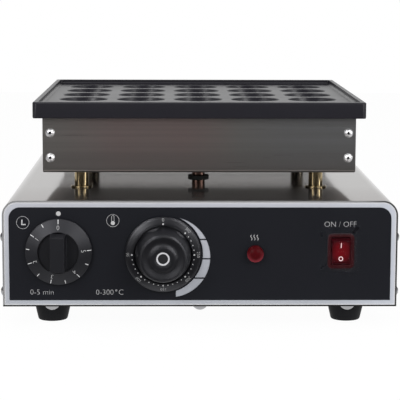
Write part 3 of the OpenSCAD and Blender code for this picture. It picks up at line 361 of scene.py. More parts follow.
def satin_silver():
    """Silver lacquer with a very fine metallic grain: painted shade low down, painted light at the right and
    a painted highlight on the rim.
    """
    colour, shaded, painted_low_shade = (0.52, 0.53, 0.58), (0.485, 0.495, 0.545), (0.435, 0.455, 0.50)
    painted_right_light, right_w = (0.55, 0.575, 0.635), 60 * MM
    painted_rim_light, rim_w = (0.74, 0.735, 0.73), 2.6 * MM
    material, tree, shader = new_finish("satin_silver", colour, 0.42, metallic=0.35)
    skin = use_effect(tree, speckle, grain=3500.0, blotch=14.0)
    sprayed = blend_colours(tree, skin.outputs["Slow"], colour, shaded)
    # Painted shade: the lacquer darkens towards the bottom.
    upward = ramp_along(tree, "Z", plate_low.z, plate_high.z)
    coat = blend_colours(tree, upward, painted_low_shade, sprayed)
    # Painted light: the lacquer is paler towards the right.
    rightward = ramp_along(tree, "X", plate_high.x - right_w, plate_high.x)
    lacquer = blend_colours(tree, rightward, coat, painted_right_light)
    # Painted highlight: the rim is paler all round.
    wear_and_sheen = use_effect(tree, edge_wear_and_sheen, reach=rim_w)
    paint(tree, shader, wear_and_sheen.outputs["Edge"], lacquer, painted_rim_light)
    gloss(tree, shader, skin.outputs["Fine"], 0.36, 0.48)
    return material


def black_film():
    """Printed polycarbonate film: satin black with a slight orange-peel surface."""
    colour, pale = (0.0070, 0.0076, 0.0108), (0.0084, 0.0090, 0.0124)
    material, tree, shader = new_finish("black_film", colour, 0.38, specular_ior_level=0.22)
    skin = use_effect(tree, speckle, grain=1400.0, blotch=12.0)
    paint(tree, shader, skin.outputs["Slow"], colour, pale)
    gloss(tree, shader, skin.outputs["Slow"], 0.34, 0.43)
    emboss(tree, shader, skin.outputs["Fine"], depth=0.008 * MM, strength=0.4)
    return material


dress("face_plate", satin_silver(), bevel=0.25 * MM)
dress("legend_film", black_film())

# Marks printed on the film: a pointer dot, a clock and a thermometer in rings, and plain marks beside
# each control. They are pale grey ink, thin enough to follow the surface below.
ink_t = 0.06 * MM
figure_slim = -0.020


def ink_bar(ink, centre, angle, length, width):
    """A straight stroke; angle 0 stands upright and turns counter-clockwise."""
    along = Vector((-math.sin(angle), math.cos(angle))) * length / 2
    aside = Vector((math.cos(angle), math.sin(angle))) * width / 2
    corners = [centre - along - aside, centre - along + aside, centre + along + aside, centre + along - aside]
    ink.faces.new([ink.verts.new((*corner, 0)) for corner in corners])


def arc_points(centre, radius, count, first=0.0, sweep=2 * math.pi):
    """Points on an arc, counter-clockwise from the first angle."""
    turns = [first + sweep * i / count for i in range(count + (sweep < 2 * math.pi))]
    return [centre + Vector((math.cos(t), math.sin(t))) * radius for t in turns]


def ink_disc(ink, centre, radius, count=24):
    """A filled round dot."""
    ink.faces.new([ink.verts.new((*p, 0)) for p in arc_points(centre, radius, count)])


def ink_band(ink, outer, inner, closed):
    """A strip between two rows of points."""
    outer = [ink.verts.new((*p, 0)) for p in outer]
    inner = [ink.verts.new((*p, 0)) for p in inner]
    for i in range(len(outer) if closed else len(outer) - 1):
        j = (i + 1) % len(outer)
        ink.faces.new([outer[i], outer[j], inner[j], inner[i]])


def ink_ring(ink, centre, radius, width, count=40):
    """A round line of the given middle radius."""
    outer = arc_points(centre, radius + width / 2, count)
    inner = arc_points(centre, radius - width / 2, count)
    ink_band(ink, outer, inner, True)


def ink_figure(ink, text, centre, height, angle=0.0):
    """Figures set in the plain built-in face, centred on a point."""
    data = bpy.data.curves.new("figure", "FONT")
    data.body = text
    data.resolution_u = 3
    data.offset = figure_slim
    shape = bpy.data.objects.new("figure", data)
    scene.collection.objects.link(shape)
    flat = bpy.data.meshes.new_from_object(shape.evaluated_get(bpy.context.evaluated_depsgraph_get()))
    known = len(ink.verts)
    ink.from_mesh(flat)
    ink.verts.ensure_lookup_table()
    fresh = ink.verts[known:]
    low = Vector((min(v.co.x for v in fresh), min(v.co.y for v in fresh)))
    high = Vector((max(v.co.x for v in fresh), max(v.co.y for v in fresh)))
    middle, size = (low + high) / 2, height / (high.y - low.y)
    turn = Matrix.Rotation(angle, 2)
    for v in fresh:
        v.co = (*(centre + turn @ ((v.co.xy - middle) * size)), 0)
    bpy.data.objects.remove(shape)
    bpy.data.curves.remove(data)
    bpy.data.meshes.remove(flat)


def print_ink(name, ink, surface, material, body):
    """Lays a flat drawing on a surface, gives it the thickness of ink and lets it ride on a body."""
    bmesh.ops.remove_doubles(ink, verts=ink.verts, dist=seam_gap)
    for v in ink.verts:
        v.co = surface(v.co.x, v.co.y)
    mesh = bpy.data.meshes.new(name)
    ink.to_mesh(mesh)
    ink.free()
    mesh.materials.append(material)
    piece = bpy.data.objects.new(name, mesh)
    scene.collection.objects.link(piece)
    layer = piece.modifiers.new("ink", "SOLIDIFY")
    layer.thickness = ink_t
    layer.offset = 0.0
    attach(piece, body)


def screen_ink(name, colour, faded):
    """Screen-printed ink: opaque and matte, a little uneven where it thins out."""
    material, tree, shader = new_finish(name, colour, 0.6)
    skin = use_effect(tree, speckle, grain=2600.0, blotch=500.0)
    paint(tree, shader, skin.outputs["Slow"], faded, colour)
    return material


def face_centre(node):
    """The middle of a node seen from the front: across and up."""
    low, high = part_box(node)
    return Vector(((low.x + high.x) / 2, (low.z + high.z) / 2))


pale_ink = screen_ink("pale_ink", (0.46, 0.46, 0.46), faded=(0.32, 0.32, 0.33))
film_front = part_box("legend_film")[0].y
shell_low, shell_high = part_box("housing_shell")
timer_axis = face_centre("timer_knob")
lamp_axis = face_centre("indicator_lens")


def on_film(across, up):
    """A point of the drawing on the front of the film."""
    return Vector((across, film_front, up))


def below_top(across_mm, down_mm):
    """A point of the face, in millimetres from its middle and from the top of the housing."""
    return Vector((across_mm * MM, shell_high.z - down_mm * MM))


badge_r = 5.2 * MM
badge_w = 0.26 * MM
label_h = 4.3 * MM


def draw_clock(ink, centre):
    """A clock: a ring with two hands that meet in a corner."""
    hand, hand_w = 3.6 * MM, 1.0 * MM
    upright_x, upright_foot, lying_start, lying_y = -0.7 * MM, -1.1 * MM, -1.2 * MM, -1.6 * MM
    ink_ring(ink, centre, badge_r, badge_w)
    ink_bar(ink, centre + Vector((upright_x, upright_foot + hand / 2)), 0, hand, hand_w)
    ink_bar(ink, centre + Vector((lying_start + hand / 2, lying_y)), math.pi / 2, hand, hand_w)


def draw_gauge(ink, centre):
    """A thermometer: a stem with a round bulb, in a ring."""
    bulb_r, bulb_down = 1.7 * MM, 2.1 * MM
    stem_r, stem_w, stem_h, stem_up, arc_steps = 1.0 * MM, 0.32 * MM, 3.8 * MM, 1.3 * MM, 8
    ink_ring(ink, centre, badge_r, badge_w)
    ink_disc(ink, centre + Vector((0, -bulb_down)), bulb_r)
    for side in (-1, 1):
        ink_bar(ink, centre + Vector((side * stem_r, stem_up)), 0, stem_h, stem_w)
    tip = centre + Vector((0, stem_up + stem_h / 2))
    outer = arc_points(tip, stem_r + stem_w / 2, arc_steps, 0, math.pi)
    inner = arc_points(tip, stem_r - stem_w / 2, arc_steps, 0, math.pi)
    ink_band(ink, outer, inner, False)


def draw_heat_waves(ink, centre):
    """Rising heat: three upright wavy lines side by side."""
    steps, wave_h, swing, gap, line_w = 12, 4.6 * MM, 0.55 * MM, 2.6 * MM, 0.55 * MM
    aside = Vector((line_w / 2, 0))
    for k in (-1, 0, 1):
        foot = centre + Vector((k * gap, -wave_h / 2))
        middle = []
        for i in range(steps + 1):
            middle.append(foot + Vector((swing * math.sin(2 * math.pi * i / steps), wave_h * i / steps)))
        ink_band(ink, [p + aside for p in middle], [p - aside for p in middle], False)


def ink_degree(ink, centre):
    """The small raised ring of a degree sign."""
    ink_ring(ink, centre, 0.6 * MM, 0.34 * MM, 16)


film_ink = bmesh.new()
draw_clock(film_ink, below_top(-147.6, 18.3))
draw_gauge(film_ink, below_top(-72.8, 16.6))
draw_heat_waves(film_ink, lamp_axis + Vector((-0.7 * MM, 13.3 * MM)))
ink_figure(film_ink, "0-5 min", below_top(-132.3, 77.1), label_h)
ink_figure(film_ink, "0-300", below_top(-79.8, 77.2), label_h)
ink_degree(film_ink, below_top(-70.2, 75.8))
ink_figure(film_ink, "C", below_top(-66.2, 77.2), label_h)
ink_figure(film_ink, "ON / OFF", below_top(116.9, 19.6), label_h)
print_ink("film_marks", film_ink, on_film, pale_ink, "appliance")

pointer_r = 2.0 * MM
pointer_down = 10.8 * MM
pointer_ink = bmesh.new()
ink_disc(pointer_ink, Vector((timer_axis.x, shell_high.z - pointer_down)), pointer_r)
print_ink("pointer_dot", pointer_ink, on_film, pale_ink, "appliance")

# Housing shell: one stainless sheet folded over as top and sides, brushed and left bright, its top pressed
# down a little towards the front. Dome-head screws hold it to the flanges of the front and rear panels.
# Its sheared edges are matte.
press_start = -100 * MM
press_depth = 2 * MM
sheet_glance = (0.75, 0.75, 0.75, 1.0)


def edged_sheet():
    """Bright stainless sheet whose cut edges, to the front and rear, are matte, with a painted shadow on them
    towards the right.
    """
    face, edge, painted_edge_shadow = (0.437, 0.417, 0.407), (0.50, 0.50, 0.51), (0.10, 0.10, 0.10)
    dark_start, dark_end = shell_high.x - 30 * MM, shell_high.x - 8 * MM
    cut_limit, cut_matte = 0.9, 0.4
    material, tree, shader = new_finish("edged_sheet", face, 0.12, metallic=0.945, specular_tint=sheet_glance)
    scratch = use_effect(tree, brushing)
    facing = calculate(tree, "ABSOLUTE", parts_of(tree, "Normal")["Y"])
    cut = calculate(tree, "GREATER_THAN", facing, cut_limit)
    # Painted shadow: the cut edges darken towards the right.
    sheared = blend_colours(tree, ramp_along(tree, "X", dark_start, dark_end), edge, painted_edge_shadow)
    paint(tree, shader, cut, face, sheared)
    sheen = between(tree, scratch.outputs["Lines"], 0.08, 0.14)
    matte = calculate(tree, "MULTIPLY", cut, cut_matte)
    tree.links.new(calculate(tree, "ADD", sheen, matte), shader.inputs["Roughness"])
    lines = emboss(tree, shader, scratch.outputs["Lines"], brush_depth, strength=0.07)
    forward = ramp_along(tree, "Y", press_start, shell_low.y)
    pressed = between(tree, calculate(tree, "POWER", forward, 2.0), 1.0, 0.0)
    emboss(tree, lines, pressed, press_depth, strength=1.0)
    return material


dress("housing_shell", edged_sheet())
dress("side_screws", dull_zinc)

# Posts: four turned brass spacers on brass discs carry the heater box; steel studs pass through them.
# The wiring goes up in a brown copper tube with a thick rubber ring on it.
# Brass and copper darken towards the rear: painted shade for the rear parts in the shade of the heater box.
rear_shade_start = -30 * MM
rear_shade_end = 60 * MM


def turned_brass(name, colour, tint, painted_rear_shade, roughness):
    """Turned brass or copper tube: polished, a little tarnished, and darkened towards the rear by painted
    shade.
    """
    polished, dull = roughness - 0.05, roughness + 0.08
    material, tree, shader = new_finish(name, colour, roughness, metallic=1.0)
    scratch = use_effect(tree, brushing, across=2600.0, along=2600.0)
    skin = use_effect(tree, speckle, grain=700.0, blotch=90.0)
    tarnished = blend_colours(tree, skin.outputs["Slow"], colour, tint)
    # Painted shade: darker towards the rear.
    paint(tree, shader, ramp_along(tree, "Y", rear_shade_start, rear_shade_end), tarnished, painted_rear_shade)
    gloss(tree, shader, scratch.outputs["Lines"], polished, dull)
    return material


post_brass = turned_brass(
    "post_brass", (0.39, 0.315, 0.19), tint=(0.31, 0.24, 0.135), painted_rear_shade=(0.22, 0.19, 0.15), roughness=0.16
)
dress("support_posts", post_brass, bevel=0.3 * MM)
dress("post_washers", post_brass, bevel=0.6 * MM, segments=3)
conduit_copper = turned_brass(
    "conduit_copper", (0.155, 0.095, 0.078),
    tint=(0.115, 0.068, 0.054), painted_rear_shade=(0.10, 0.07, 0.06), roughness=0.24,
)
dress("wire_conduit", conduit_copper)
# Its rubber is paler than the feet's: painted light that lifts it in the shade under the heater box.
ring_rubber = moulded(
    "ring_rubber", (0.022, 0.024, 0.023), (0.028, 0.030, 0.029), roughness=0.6, grain=2200.0, depth=0.05 * MM
)
dress("conduit_grommet", ring_rubber, bevel=0.6 * MM, segments=3)
pin_steel = bright_metal("pin_steel", (0.46, 0.46, 0.45), roughness=0.32)
for pin in ("tie_studs", "timer_shaft", "thermostat_shaft", "bulb_clip", "element_clamps"):
    dress(pin, pin_steel)
for fastener in ("tie_nuts", "tie_washers", "clip_screws", "clamp_bolts"):
    dress(fastener, screw_plate)

# Heater box: a folded tray with two screwed-on end plates, of brushed stainless sheet.
# It holds a pad of mineral fibre, a bright reflector and the heating tube under the pan.
box_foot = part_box("heater_box_front")[0].z


def box_sheet():
    """Brushed stainless of the end plates: a reddish heat stain left of the middle, and painted shade that
    darkens the foot.
    """
    grey, cool_grey = (0.465, 0.445, 0.425), (0.435, 0.44, 0.45)
    stain, foot = (0.525, 0.40, 0.39), (0.27, 0.255, 0.245)
    cool_fade, left_fade, right_fade = (15 * MM, 75 * MM), (-130 * MM, -70 * MM), (35 * MM, -10 * MM)
    foot_fade = (box_foot - 5 * MM, box_foot + 30 * MM)
    material, tree, shader = new_finish("box_sheet", grey, 0.3, metallic=1.0)
    scratch = use_effect(tree, brushing)
    bands = use_effect(tree, brushing, across=240.0, along=2.0)
    unstained = blend_colours(tree, ramp_along(tree, "X", *cool_fade), grey, cool_grey)
    patch = calculate(tree, "MULTIPLY", ramp_along(tree, "X", *left_fade), ramp_along(tree, "X", *right_fade))
    cloudy = between(tree, scratch.outputs["Cloud"], 0.2, 1.4)
    stained = calculate(tree, "MULTIPLY", patch, cloudy)
    tinted = blend_colours(tree, stained, unstained, stain)
    banded = blend_colours(tree, between(tree, bands.outputs["Lines"], -0.25, 0.5), tinted, foot)
    # Painted shade: the sheet darkens towards its foot.
    paint(tree, shader, ramp_along(tree, "Z", *foot_fade), foot, banded)
    gloss(tree, shader, scratch.outputs["Lines"], 0.24, 0.36)
    emboss(tree, shader, scratch.outputs["Lines"], brush_depth, strength=0.12)
    return material


end_sheet = box_sheet()
for sheet in ("heater_box_front", "heater_box_rear"):
    dress(sheet, end_sheet, bevel=0.8 * MM)


def smoked_sheet():
    """The tray's sheet: stainless that is duller under its front half and painted paler there, painted light
    that lifts it in the shade under the box.
    """
    painted_front_light, clean, front_light_fade = (0.46, 0.435, 0.415), (0.35, 0.332, 0.322), (-5 * MM, 60 * MM)
    material, tree, shader = new_finish("smoked_sheet", clean, 0.14, specular_tint=sheet_glance)
    rearward = ramp_along(tree, "Y", *front_light_fade)
    # Painted light: the front half is paler, to lift it in the shade under the box.
    paint(tree, shader, rearward, painted_front_light, clean)
    gloss(tree, shader, rearward, 0.4, 0.14)
    tree.links.new(between(tree, rearward, 0.9, 1.0), shader.inputs["Metallic"])
    return material


dress("heater_box_tray", smoked_sheet())
screws_low, screws_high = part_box("heater_box_screws")
screw_head_r = 4.0 * MM
screw_socket_r = 1.35 * MM


def socket_screw():
    """Zinc-plated pan head whose socket is painted dark: painted shade in the recess."""
    plate, painted_socket_shade, socket_shade_edge = (0.80, 0.80, 0.81), (0.03, 0.03, 0.03), 6.0
    material, tree, shader = new_finish("socket_screw", plate, 0.4, metallic=1.0)
    part = parts_of(tree, "Object")
    reach = []
    for axis, low, high in (("X", screws_low.x, screws_high.x), ("Z", screws_low.z, screws_high.z)):
        row = (high - low) / 2 - screw_head_r
        aside = calculate(tree, "ABSOLUTE", calculate(tree, "SUBTRACT", part[axis], (low + high) / 2))
        reach.append(calculate(tree, "POWER", calculate(tree, "SUBTRACT", aside, row), 2.0))
    away = calculate(tree, "SQRT", calculate(tree, "ADD", reach[0], reach[1]))
    outside = calculate(tree, "MINIMUM", calculate(tree, "DIVIDE", away, screw_socket_r), 1.0)
    # Painted shade: the socket is dark.
    paint(tree, shader, calculate(tree, "POWER", outside, socket_shade_edge), painted_socket_shade, plate)
    skin = use_effect(tree, speckle, grain=900.0, blotch=160.0)
    gloss(tree, shader, skin.outputs["Slow"], 0.34, 0.48)
    return material


dress("heater_box_screws", socket_screw())
fibre_blanket = moulded(
    "fibre_blanket", (0.66, 0.62, 0.50), (0.52, 0.48, 0.38), roughness=0.95, grain=700.0, depth=0.5 * MM
)
dress("insulation_pad", fibre_blanket)
reflector_sheet = brushed_steel("reflector_sheet", (0.72, 0.72, 0.72), (0.66, 0.66, 0.66), roughness=0.22)
dress("reflector_plate", reflector_sheet)
heater_sheath = bright_metal("heater_sheath", (0.18, 0.165, 0.15), roughness=0.45)
dress("heating_element", heater_sheath)

# Pan: one aluminium casting with a raised lip, a deep skirt and rows of round pits, held from below by
# the studs. A black non-stick coat covers it: satin, finely grained, and rubbed a little brighter along
# its edges.
lip_h = 4.5 * MM
rim_depth = 0.8 * MM
plate_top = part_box("griddle_plate")[1].z - lip_h


def non_stick():
    """Sprayed non-stick coat over cast aluminium, scoured dull on the side walls of the pits."""
    coat, rubbed = (0.0124, 0.0118, 0.0160), (0.045, 0.045, 0.048)
    front_change, side_change, side_start, side_end = -0.04, 0.4, 0.3, 0.55
    material, tree, shader = new_finish("non_stick", coat, 0.28, specular_ior_level=0.3)
    skin = use_effect(tree, speckle, grain=1600.0, blotch=45.0)
    wear_and_sheen = use_effect(tree, edge_wear_and_sheen)
    patchy = calculate(tree, "MULTIPLY", wear_and_sheen.outputs["Edge"], skin.outputs["Slow"])
    paint(tree, shader, patchy, coat, rubbed)
    in_pit = calculate(tree, "LESS_THAN", parts_of(tree, "Object")["Z"], plate_top - rim_depth)
    facing = calculate(tree, "ABSOLUTE", parts_of(tree, "Normal")["X"])
    side_wall = between(tree, facing, front_change, side_change, side_start, side_end)
    dulled = calculate(tree, "MULTIPLY", in_pit, side_wall)
    sheen = between(tree, skin.outputs["Slow"], 0.31, 0.39)
    tree.links.new(calculate(tree, "ADD", sheen, dulled), shader.inputs["Roughness"])
    emboss(tree, shader, skin.outputs["Fine"], depth=0.02 * MM, strength=0.3)
    return material


dress("griddle_plate", non_stick(), bevel=1.0 * MM, segments=3)

# Timer knob: a low cone moulded in black plastic, with a grip bar between two finger wells, pushed onto
# the timer's shaft. Its scale runs counter-clockwise from nought, with a long stroke at each minute and
# a short one at each half; the first few degrees only switch it on.


def reach_from(tree, axis):
    """The square of the distance from a line through the face, square to it."""
    part = parts_of(tree, "Object")
    across = calculate(tree, "POWER", calculate(tree, "SUBTRACT", part["X"], axis.x), 2.0)
    upward = calculate(tree, "POWER", calculate(tree, "SUBTRACT", part["Z"], axis.y), 2.0)
    return calculate(tree, "ADD", across, upward)


def knob_plastic(name, colour, rubbed, roughness, shine, rounding, axis, grip_r):
    """Moulded black knob plastic, with edges that fingers have rubbed round and paler, and a duller grip."""
    smooth, worn, grip_dull = roughness - 0.05, roughness + 0.06, 0.07
    material, tree, shader = new_finish(
        name, colour, roughness, specular_ior_level=shine, specular_tint=(0.94, 0.94, 1.0, 1.0)
    )
    skin = use_effect(tree, speckle, grain=1900.0, blotch=60.0)
    wear_and_sheen = use_effect(tree, edge_wear_and_sheen, reach=0.6 * MM)
    patchy = calculate(tree, "MULTIPLY", wear_and_sheen.outputs["Edge"], skin.outputs["Slow"])
    paint(tree, shader, patchy, colour, rubbed)
    sheen = between(tree, skin.outputs["Slow"], smooth, worn)
    gripped = calculate(tree, "LESS_THAN", reach_from(tree, axis), grip_r**2)
    dulled = calculate(tree, "MULTIPLY", gripped, grip_dull)
    tree.links.new(calculate(tree, "ADD", sheen, dulled), shader.inputs["Roughness"])
    bump = emboss(tree, shader, skin.outputs["Fine"], depth=0.02 * MM, strength=0.35)
    worn_round = tree.nodes.new("ShaderNodeBevel")
    worn_round.inputs["Radius"].default_value = rounding
    tree.links.new(worn_round.outputs["Normal"], bump.inputs["Normal"])
    return material


timer_plastic = knob_plastic(
    "timer_plastic", (0.0056, 0.0058, 0.0078), rubbed=(0.016, 0.016, 0.018),
    roughness=0.45, shine=0.44, rounding=1.2 * MM, axis=timer_axis, grip_r=0.0,
)
dress("timer_knob", timer_plastic, bevel=0.8 * MM, segments=3)


def on_cone(axis, outer_r, outer_h, inner_r, inner_h):
    """A surface that lays a drawing on a low cone in front of the film."""

    def place(across, up):
        r = math.hypot(across, up)
        share = (outer_r - r) / (outer_r - inner_r)
        height = outer_h + (inner_h - outer_h) * min(max(share, 0), 1)
        return Vector((axis.x + across, film_front - height, axis.y + up))

    return place


def around(radius, turn):
    """A point on the dial, turned counter-clockwise from the top."""
    return Vector((-math.sin(turn), math.cos(turn))) * radius


timer_cone = on_cone(timer_axis, outer_r=27.75 * MM, outer_h=3.2 * MM, inner_r=17.0 * MM, inner_h=8.0 * MM)
minutes = 5
minute_turn = math.radians(54)
switch_on_turn = math.radians(3.5)
stroke_r, stroke_w, long_stroke, short_stroke = 25.6 * MM, 0.6 * MM, 3.6 * MM, 2.9 * MM
minute_r, minute_h = 20.9 * MM, 3.5 * MM
timer_ink = bmesh.new()
for half in range(2 * minutes + 1):
    turn = half * minute_turn / 2 + (switch_on_turn if half else 0)
    whole = half % 2 == 0
    ink_bar(timer_ink, around(stroke_r, turn), turn, long_stroke if whole else short_stroke, stroke_w)
    if whole:
        ink_figure(timer_ink, str(half // 2), around(minute_r, turn), minute_h, turn)
white_ink = screen_ink("white_ink", (0.58, 0.58, 0.58), faded=(0.47, 0.47, 0.48))
print_ink("timer_marks", timer_ink, timer_cone, white_ink, "timer_dial")

# Temperature knob: a scalloped body on a flat dial, moulded in black plastic and pushed onto the
# thermostat's shaft, with a plain turned disc in its middle. Figures run round the rim, and dots mark
# the steps between them.
temp_axis = face_centre("temperature_knob")
thermostat_plastic = knob_plastic(
    "thermostat_plastic", (0.0026, 0.0028, 0.0042), rubbed=(0.005, 0.005, 0.007),
    roughness=0.30, shine=0.72, rounding=3.6 * MM, axis=temp_axis, grip_r=24 * MM,
)
dress("temperature_knob", thermostat_plastic, bevel=1.0 * MM, segments=3)
disc_rim_r = 4.15 * MM
disc_edge_r = 5.5 * MM


def turned_disc():
    """Turned aluminium disc: a bright ring between a dish and an edge that are lacquered dark grey."""
    lacquer, bright = (0.020, 0.020, 0.022), (0.60, 0.60, 0.62)
    material, tree, shader = new_finish("turned_disc", bright, 0.3, metallic=0.3)
    away = reach_from(tree, temp_axis)
    inside = calculate(tree, "LESS_THAN", away, disc_edge_r**2)
    rim = calculate(tree, "MULTIPLY", calculate(tree, "GREATER_THAN", away, disc_rim_r**2), inside)
    paint(tree, shader, rim, lacquer, bright)
    skin = use_effect(tree, speckle, grain=900.0, blotch=160.0)
    gloss(tree, shader, skin.outputs["Slow"], 0.25, 0.4)
    return material


dress("knob_disc", turned_disc())
temp_cone = on_cone(temp_axis, outer_r=31.7 * MM, outer_h=3.0 * MM, inner_r=24.6 * MM, inner_h=5.2 * MM)
first_turn = math.radians(90)
step_turn = math.radians(45)
steps, dots_per_step, step_degrees = 5, 5, 50
dots_r, big_dot, small_dot, dot_sides = 26.0 * MM, 0.75 * MM, 0.45 * MM, 12
degrees_r, degrees_h, nought_h = 29.4 * MM, 2.4 * MM, 2.8 * MM
temp_ink = bmesh.new()
ink_figure(temp_ink, "0", around(degrees_r, 0), nought_h)
ink_disc(temp_ink, around(dots_r, 0), big_dot, dot_sides)
for dot in range(steps * dots_per_step + 1):
    turn = first_turn + step_turn * dot / dots_per_step
    whole = dot % dots_per_step == 0
    ink_disc(temp_ink, around(dots_r, turn), big_dot if whole else small_dot, dot_sides)
    if whole:
        degrees = step_degrees * (1 + dot // dots_per_step)
        ink_figure(temp_ink, str(degrees), around(degrees_r, turn), degrees_h, turn)
print_ink("temperature_marks", temp_ink, temp_cone, pale_ink, "temperature_dial")

# Lamp: a lens of clear red plastic pressed into the face, in front of a small lamp in its holder.
# Light from above gathers in its lower rim.
lens_low, lens_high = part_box("indicator_lens")
lens_r = (lens_high.x - lens_low.x) / 2


def red_lens():
    """Clear red plastic with a fine ribbed back that breaks up the light, and a paler lower rim."""
    deep, bright, glow = (0.030, 0.0013, 0.0025), (0.066, 0.0025, 0.0042), (0.26, 0.035, 0.048)
    rim_start, glow_start = 0.5 * lens_r, lamp_axis.y + 0.4 * lens_r
    material, tree, shader = new_finish("red_lens", bright, 0.34, specular_ior_level=0.04)
    skin = use_effect(tree, speckle, grain=900.0, blotch=420.0)
    cloudy = blend_colours(tree, skin.outputs["Slow"], deep, bright)
    outward = between(tree, reach_from(tree, lamp_axis), 0.0, 1.0, rim_start**2, lens_r**2)
    downward = ramp_along(tree, "Z", glow_start, lamp_axis.y - lens_r)
    # Painted highlight: the lower rim is paler.
    paint(tree, shader, calculate(tree, "MULTIPLY", outward, downward), cloudy, glow)
    emboss(tree, shader, skin.outputs["Fine"], depth=0.05 * MM, strength=0.3)
    return material


dress("indicator_lens", red_lens(), bevel=0.3 * MM)

# Power switch: a clear red rocker in a plastic bezel whose dark red colour and faint glow are painted light
# from the switch's own lamp.
# It snaps into the face, under a soft clear boot that keeps batter out. The rocker carries a stroke and
# a ring, the plain signs for on and off.
switch_case = moulded(
    "switch_case", (0.018, 0.0026, 0.0036), (0.014, 0.002, 0.003),
    roughness=0.5, grain=1500.0, depth=0.03 * MM, shine=0.1,
)
# Painted light: the bezel glows faintly, as if lit by the switch's lamp.
painted_glow_case = switch_case.node_tree.nodes["Principled BSDF"]
painted_glow_case.inputs["Emission Color"].default_value = (0.0145, 0.001, 0.0017, 1.0)
painted_glow_case.inputs["Emission Strength"].default_value = 1.0
dress("switch_housing", switch_case, bevel=0.3 * MM)
switch_axis = face_centre("switch_boot")
glow_half_w = 7.8 * MM
glow_half_h = 9.6 * MM


def rocker_red():
    """Clear red plastic of the rocker, brighter in its middle where the lamp behind it shows."""
    edge, middle, fall = (0.026, 0.0015, 0.003), (0.100, 0.0022, 0.0046), 3.0
    material, tree, shader = new_finish("rocker_red", middle, 0.3, specular_ior_level=0.06)
    part = parts_of(tree, "Object")
    reach = []
    for axis, centre, half in (("X", switch_axis.x, glow_half_w), ("Z", switch_axis.y, glow_half_h)):
        away = calculate(tree, "ABSOLUTE", calculate(tree, "SUBTRACT", part[axis], centre))
        reach.append(calculate(tree, "POWER", calculate(tree, "DIVIDE", away, half), fall))
    fade = calculate(tree, "MINIMUM", calculate(tree, "ADD", reach[0], reach[1]), 1.0)
    paint(tree, shader, fade, middle, edge)
    return material


dress("switch_rocker", rocker_red(), bevel=0.4 * MM)
rocker_tilt = math.radians(9)
rocker_pivot = 2.5 * MM
rocker_rise = 4.2 * MM
rocker_dish = 30.0 * MM


def on_rocker(across, up):
    """A point of the drawing on the dished front of the tilted rocker."""
    out = rocker_rise + rocker_dish - math.sqrt(rocker_dish**2 - up**2)
    tilted_up = up * math.cos(rocker_tilt) - out * math.sin(rocker_tilt)
    tilted_out = up * math.sin(rocker_tilt) + out * math.cos(rocker_tilt)
    return Vector((switch_axis.x + across, film_front + rocker_pivot - tilted_out, switch_axis.y + tilted_up))


sign_pieces, sign_up, sign_step, sign_w = 6, 4.0 * MM, 0.8 * MM, 0.62 * MM
ring_down, ring_r, ring_w = 5.8 * MM, 1.6 * MM, 0.6 * MM
rocker_ink = bmesh.new()
for piece_of_stroke in range(sign_pieces):
    ink_bar(rocker_ink, Vector((0, sign_up + sign_step * piece_of_stroke)), 0, sign_step, sign_w)
ink_ring(rocker_ink, Vector((0, -ring_down)), ring_r, ring_w, 28)
sign_ink = screen_ink("sign_ink", (0.86, 0.66, 0.68), faded=(0.74, 0.56, 0.58))
print_ink("rocker_signs", rocker_ink, on_rocker, sign_ink, "power_rocker")


def clear_boot():
    """Soft clear vinyl: see-through from the front, and milkier where it curves away."""
    clearest, milkiest, rim_sharpness = 0.004, 0.3, 5.0
    material, tree, shader = new_finish("clear_boot", (0.12, 0.123, 0.132), 0.2)
    curve = tree.nodes.new("ShaderNodeLayerWeight")
    milky = calculate(tree, "POWER", curve.outputs["Facing"], rim_sharpness)
    tree.links.new(between(tree, milky, clearest, milkiest), shader.inputs["Alpha"])
    skin = use_effect(tree, speckle, grain=600.0, blotch=80.0)
    gloss(tree, shader, skin.outputs["Slow"], 0.14, 0.26)
    return material


dress("switch_boot", clear_boot(), bevel=0.6 * MM, segments=3)

# Studio: a wide white floor under white surroundings, with a large soft box at each side in front, a small
# low one beyond each of them and two small ones above. Dark cards stand and hang around the machine,
# outside the picture, so that shiny faces show dark reflections.
floor_half = 2.4
floor_white = 0.97
lit_sky, seen_sky = 0.5, 1.0


def new_sheet(name, half_x, half_y, place):
    """A flat sheet of the studio."""
    flat = bmesh.new()
    corners = ((-1, -1), (1, -1), (1, 1), (-1, 1))
    flat.faces.new([flat.verts.new((x * half_x, y * half_y, 0)) for x, y in corners])
    mesh = bpy.data.meshes.new(name)
    flat.to_mesh(mesh)
    flat.free()
    sheet = bpy.data.objects.new(name, mesh)
    sheet.location = place
    scene.collection.objects.link(sheet)
    return sheet


def seen_directly(tree):
    """1 for rays from the camera, a mirror or a clear piece, and 0 for those that light things."""
    path = tree.nodes.new("ShaderNodeLightPath")
    mirror = calculate(tree, "MAXIMUM", path.outputs["Is Camera Ray"], path.outputs["Is Glossy Ray"])
    return calculate(tree, "MAXIMUM", mirror, path.outputs["Is Transmission Ray"])


floor = new_sheet("floor", floor_half, floor_half, (0, 0, 0))
floor_paint = bpy.data.materials.new("floor_paint")
floor_paint.use_nodes = True
tree = floor_paint.node_tree
tree.nodes.clear()
matte = tree.nodes.new("ShaderNodeBsdfDiffuse")
matte.inputs["Color"].default_value = (0.9, 0.9, 0.9, 1)
glow = tree.nodes.new("ShaderNodeEmission")
mix = tree.nodes.new("ShaderNodeMixShader")
output = tree.nodes.new("ShaderNodeOutputMaterial")
tree.links.new(calculate(tree, "MULTIPLY", seen_directly(tree), floor_white), mix.inputs["Fac"])
tree.links.new(matte.outputs[0], mix.inputs[1])
tree.links.new(glow.outputs[0], mix.inputs[2])
tree.links.new(mix.outputs[0], output.inputs["Surface"])
floor.data.materials.append(floor_paint)

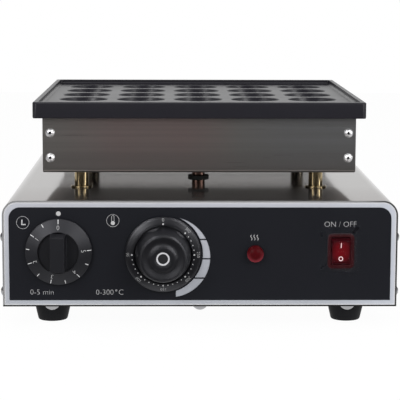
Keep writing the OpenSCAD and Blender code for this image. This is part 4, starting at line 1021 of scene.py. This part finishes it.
card_paint = new_finish("card_paint", (0.05, 0.048, 0.048), 0.9)[0]
front_card = new_sheet("front_card", 1.6, 0.994, (0, -1.226, 1 * MM))
back_card = new_sheet("back_card", 2.4, 0.8, (0, -2.6, 0.8))
back_card.rotation_euler.x = math.pi / 2
top_card = new_sheet("top_card", 1.2, 1.2, (0, 0.1, 2.3))
left_card = new_sheet("left_card", 1.0, 1.15, (-1.4, 0.15, 1.0))
right_card = new_sheet("right_card", 1.0, 0.9, (1.4, 0.4, 1.0))
for card in (left_card, right_card):
    card.rotation_euler.y = math.pi / 2
for card in (front_card, back_card, top_card, left_card, right_card):
    card.data.materials.append(card_paint)
    card.visible_camera = False
    card.visible_diffuse = False
    card.visible_shadow = False

world = bpy.data.worlds.new("studio")
world.use_nodes = True
scene.world = world
tree = world.node_tree
sky = tree.nodes["Background"]
sky.inputs["Color"].default_value = (1, 1, 1, 1)
tree.links.new(between(tree, seen_directly(tree), lit_sky, seen_sky), sky.inputs["Strength"])


def soft_box(name, place, target, width, height, power):
    """A rectangular soft box that faces a point."""
    data = bpy.data.lights.new(name, "AREA")
    data.shape = "RECTANGLE"
    data.size, data.size_y, data.energy = width, height, power
    lamp = bpy.data.objects.new(name, data)
    lamp.location = place
    lamp.rotation_euler = (Vector(target) - Vector(place)).to_track_quat("-Z", "Y").to_euler()
    scene.collection.objects.link(lamp)


soft_box("left_box", (-0.95, -1.4, 0.96), (0, 0, 0.1), width=0.8, height=1.0, power=15)
soft_box("right_box", (1.0, -1.35, 0.96), (0, 0, 0.1), width=0.8, height=1.0, power=13)
soft_box("left_low_box", (-1.17, -1.04, 0.33), (0, -0.1, 0.11), width=0.2, height=0.3, power=0.5)
soft_box("right_low_box", (1.4, -0.6, 0.33), (0, -0.1, 0.11), width=0.45, height=0.3, power=3.4)
soft_box("left_top_box", (-0.9, 0.0, 1.8), (0, 0, 0.18), width=0.5, height=0.5, power=6)
soft_box("right_top_box", (0.9, 0.0, 1.8), (0, 0, 0.18), width=0.5, height=0.5, power=6)
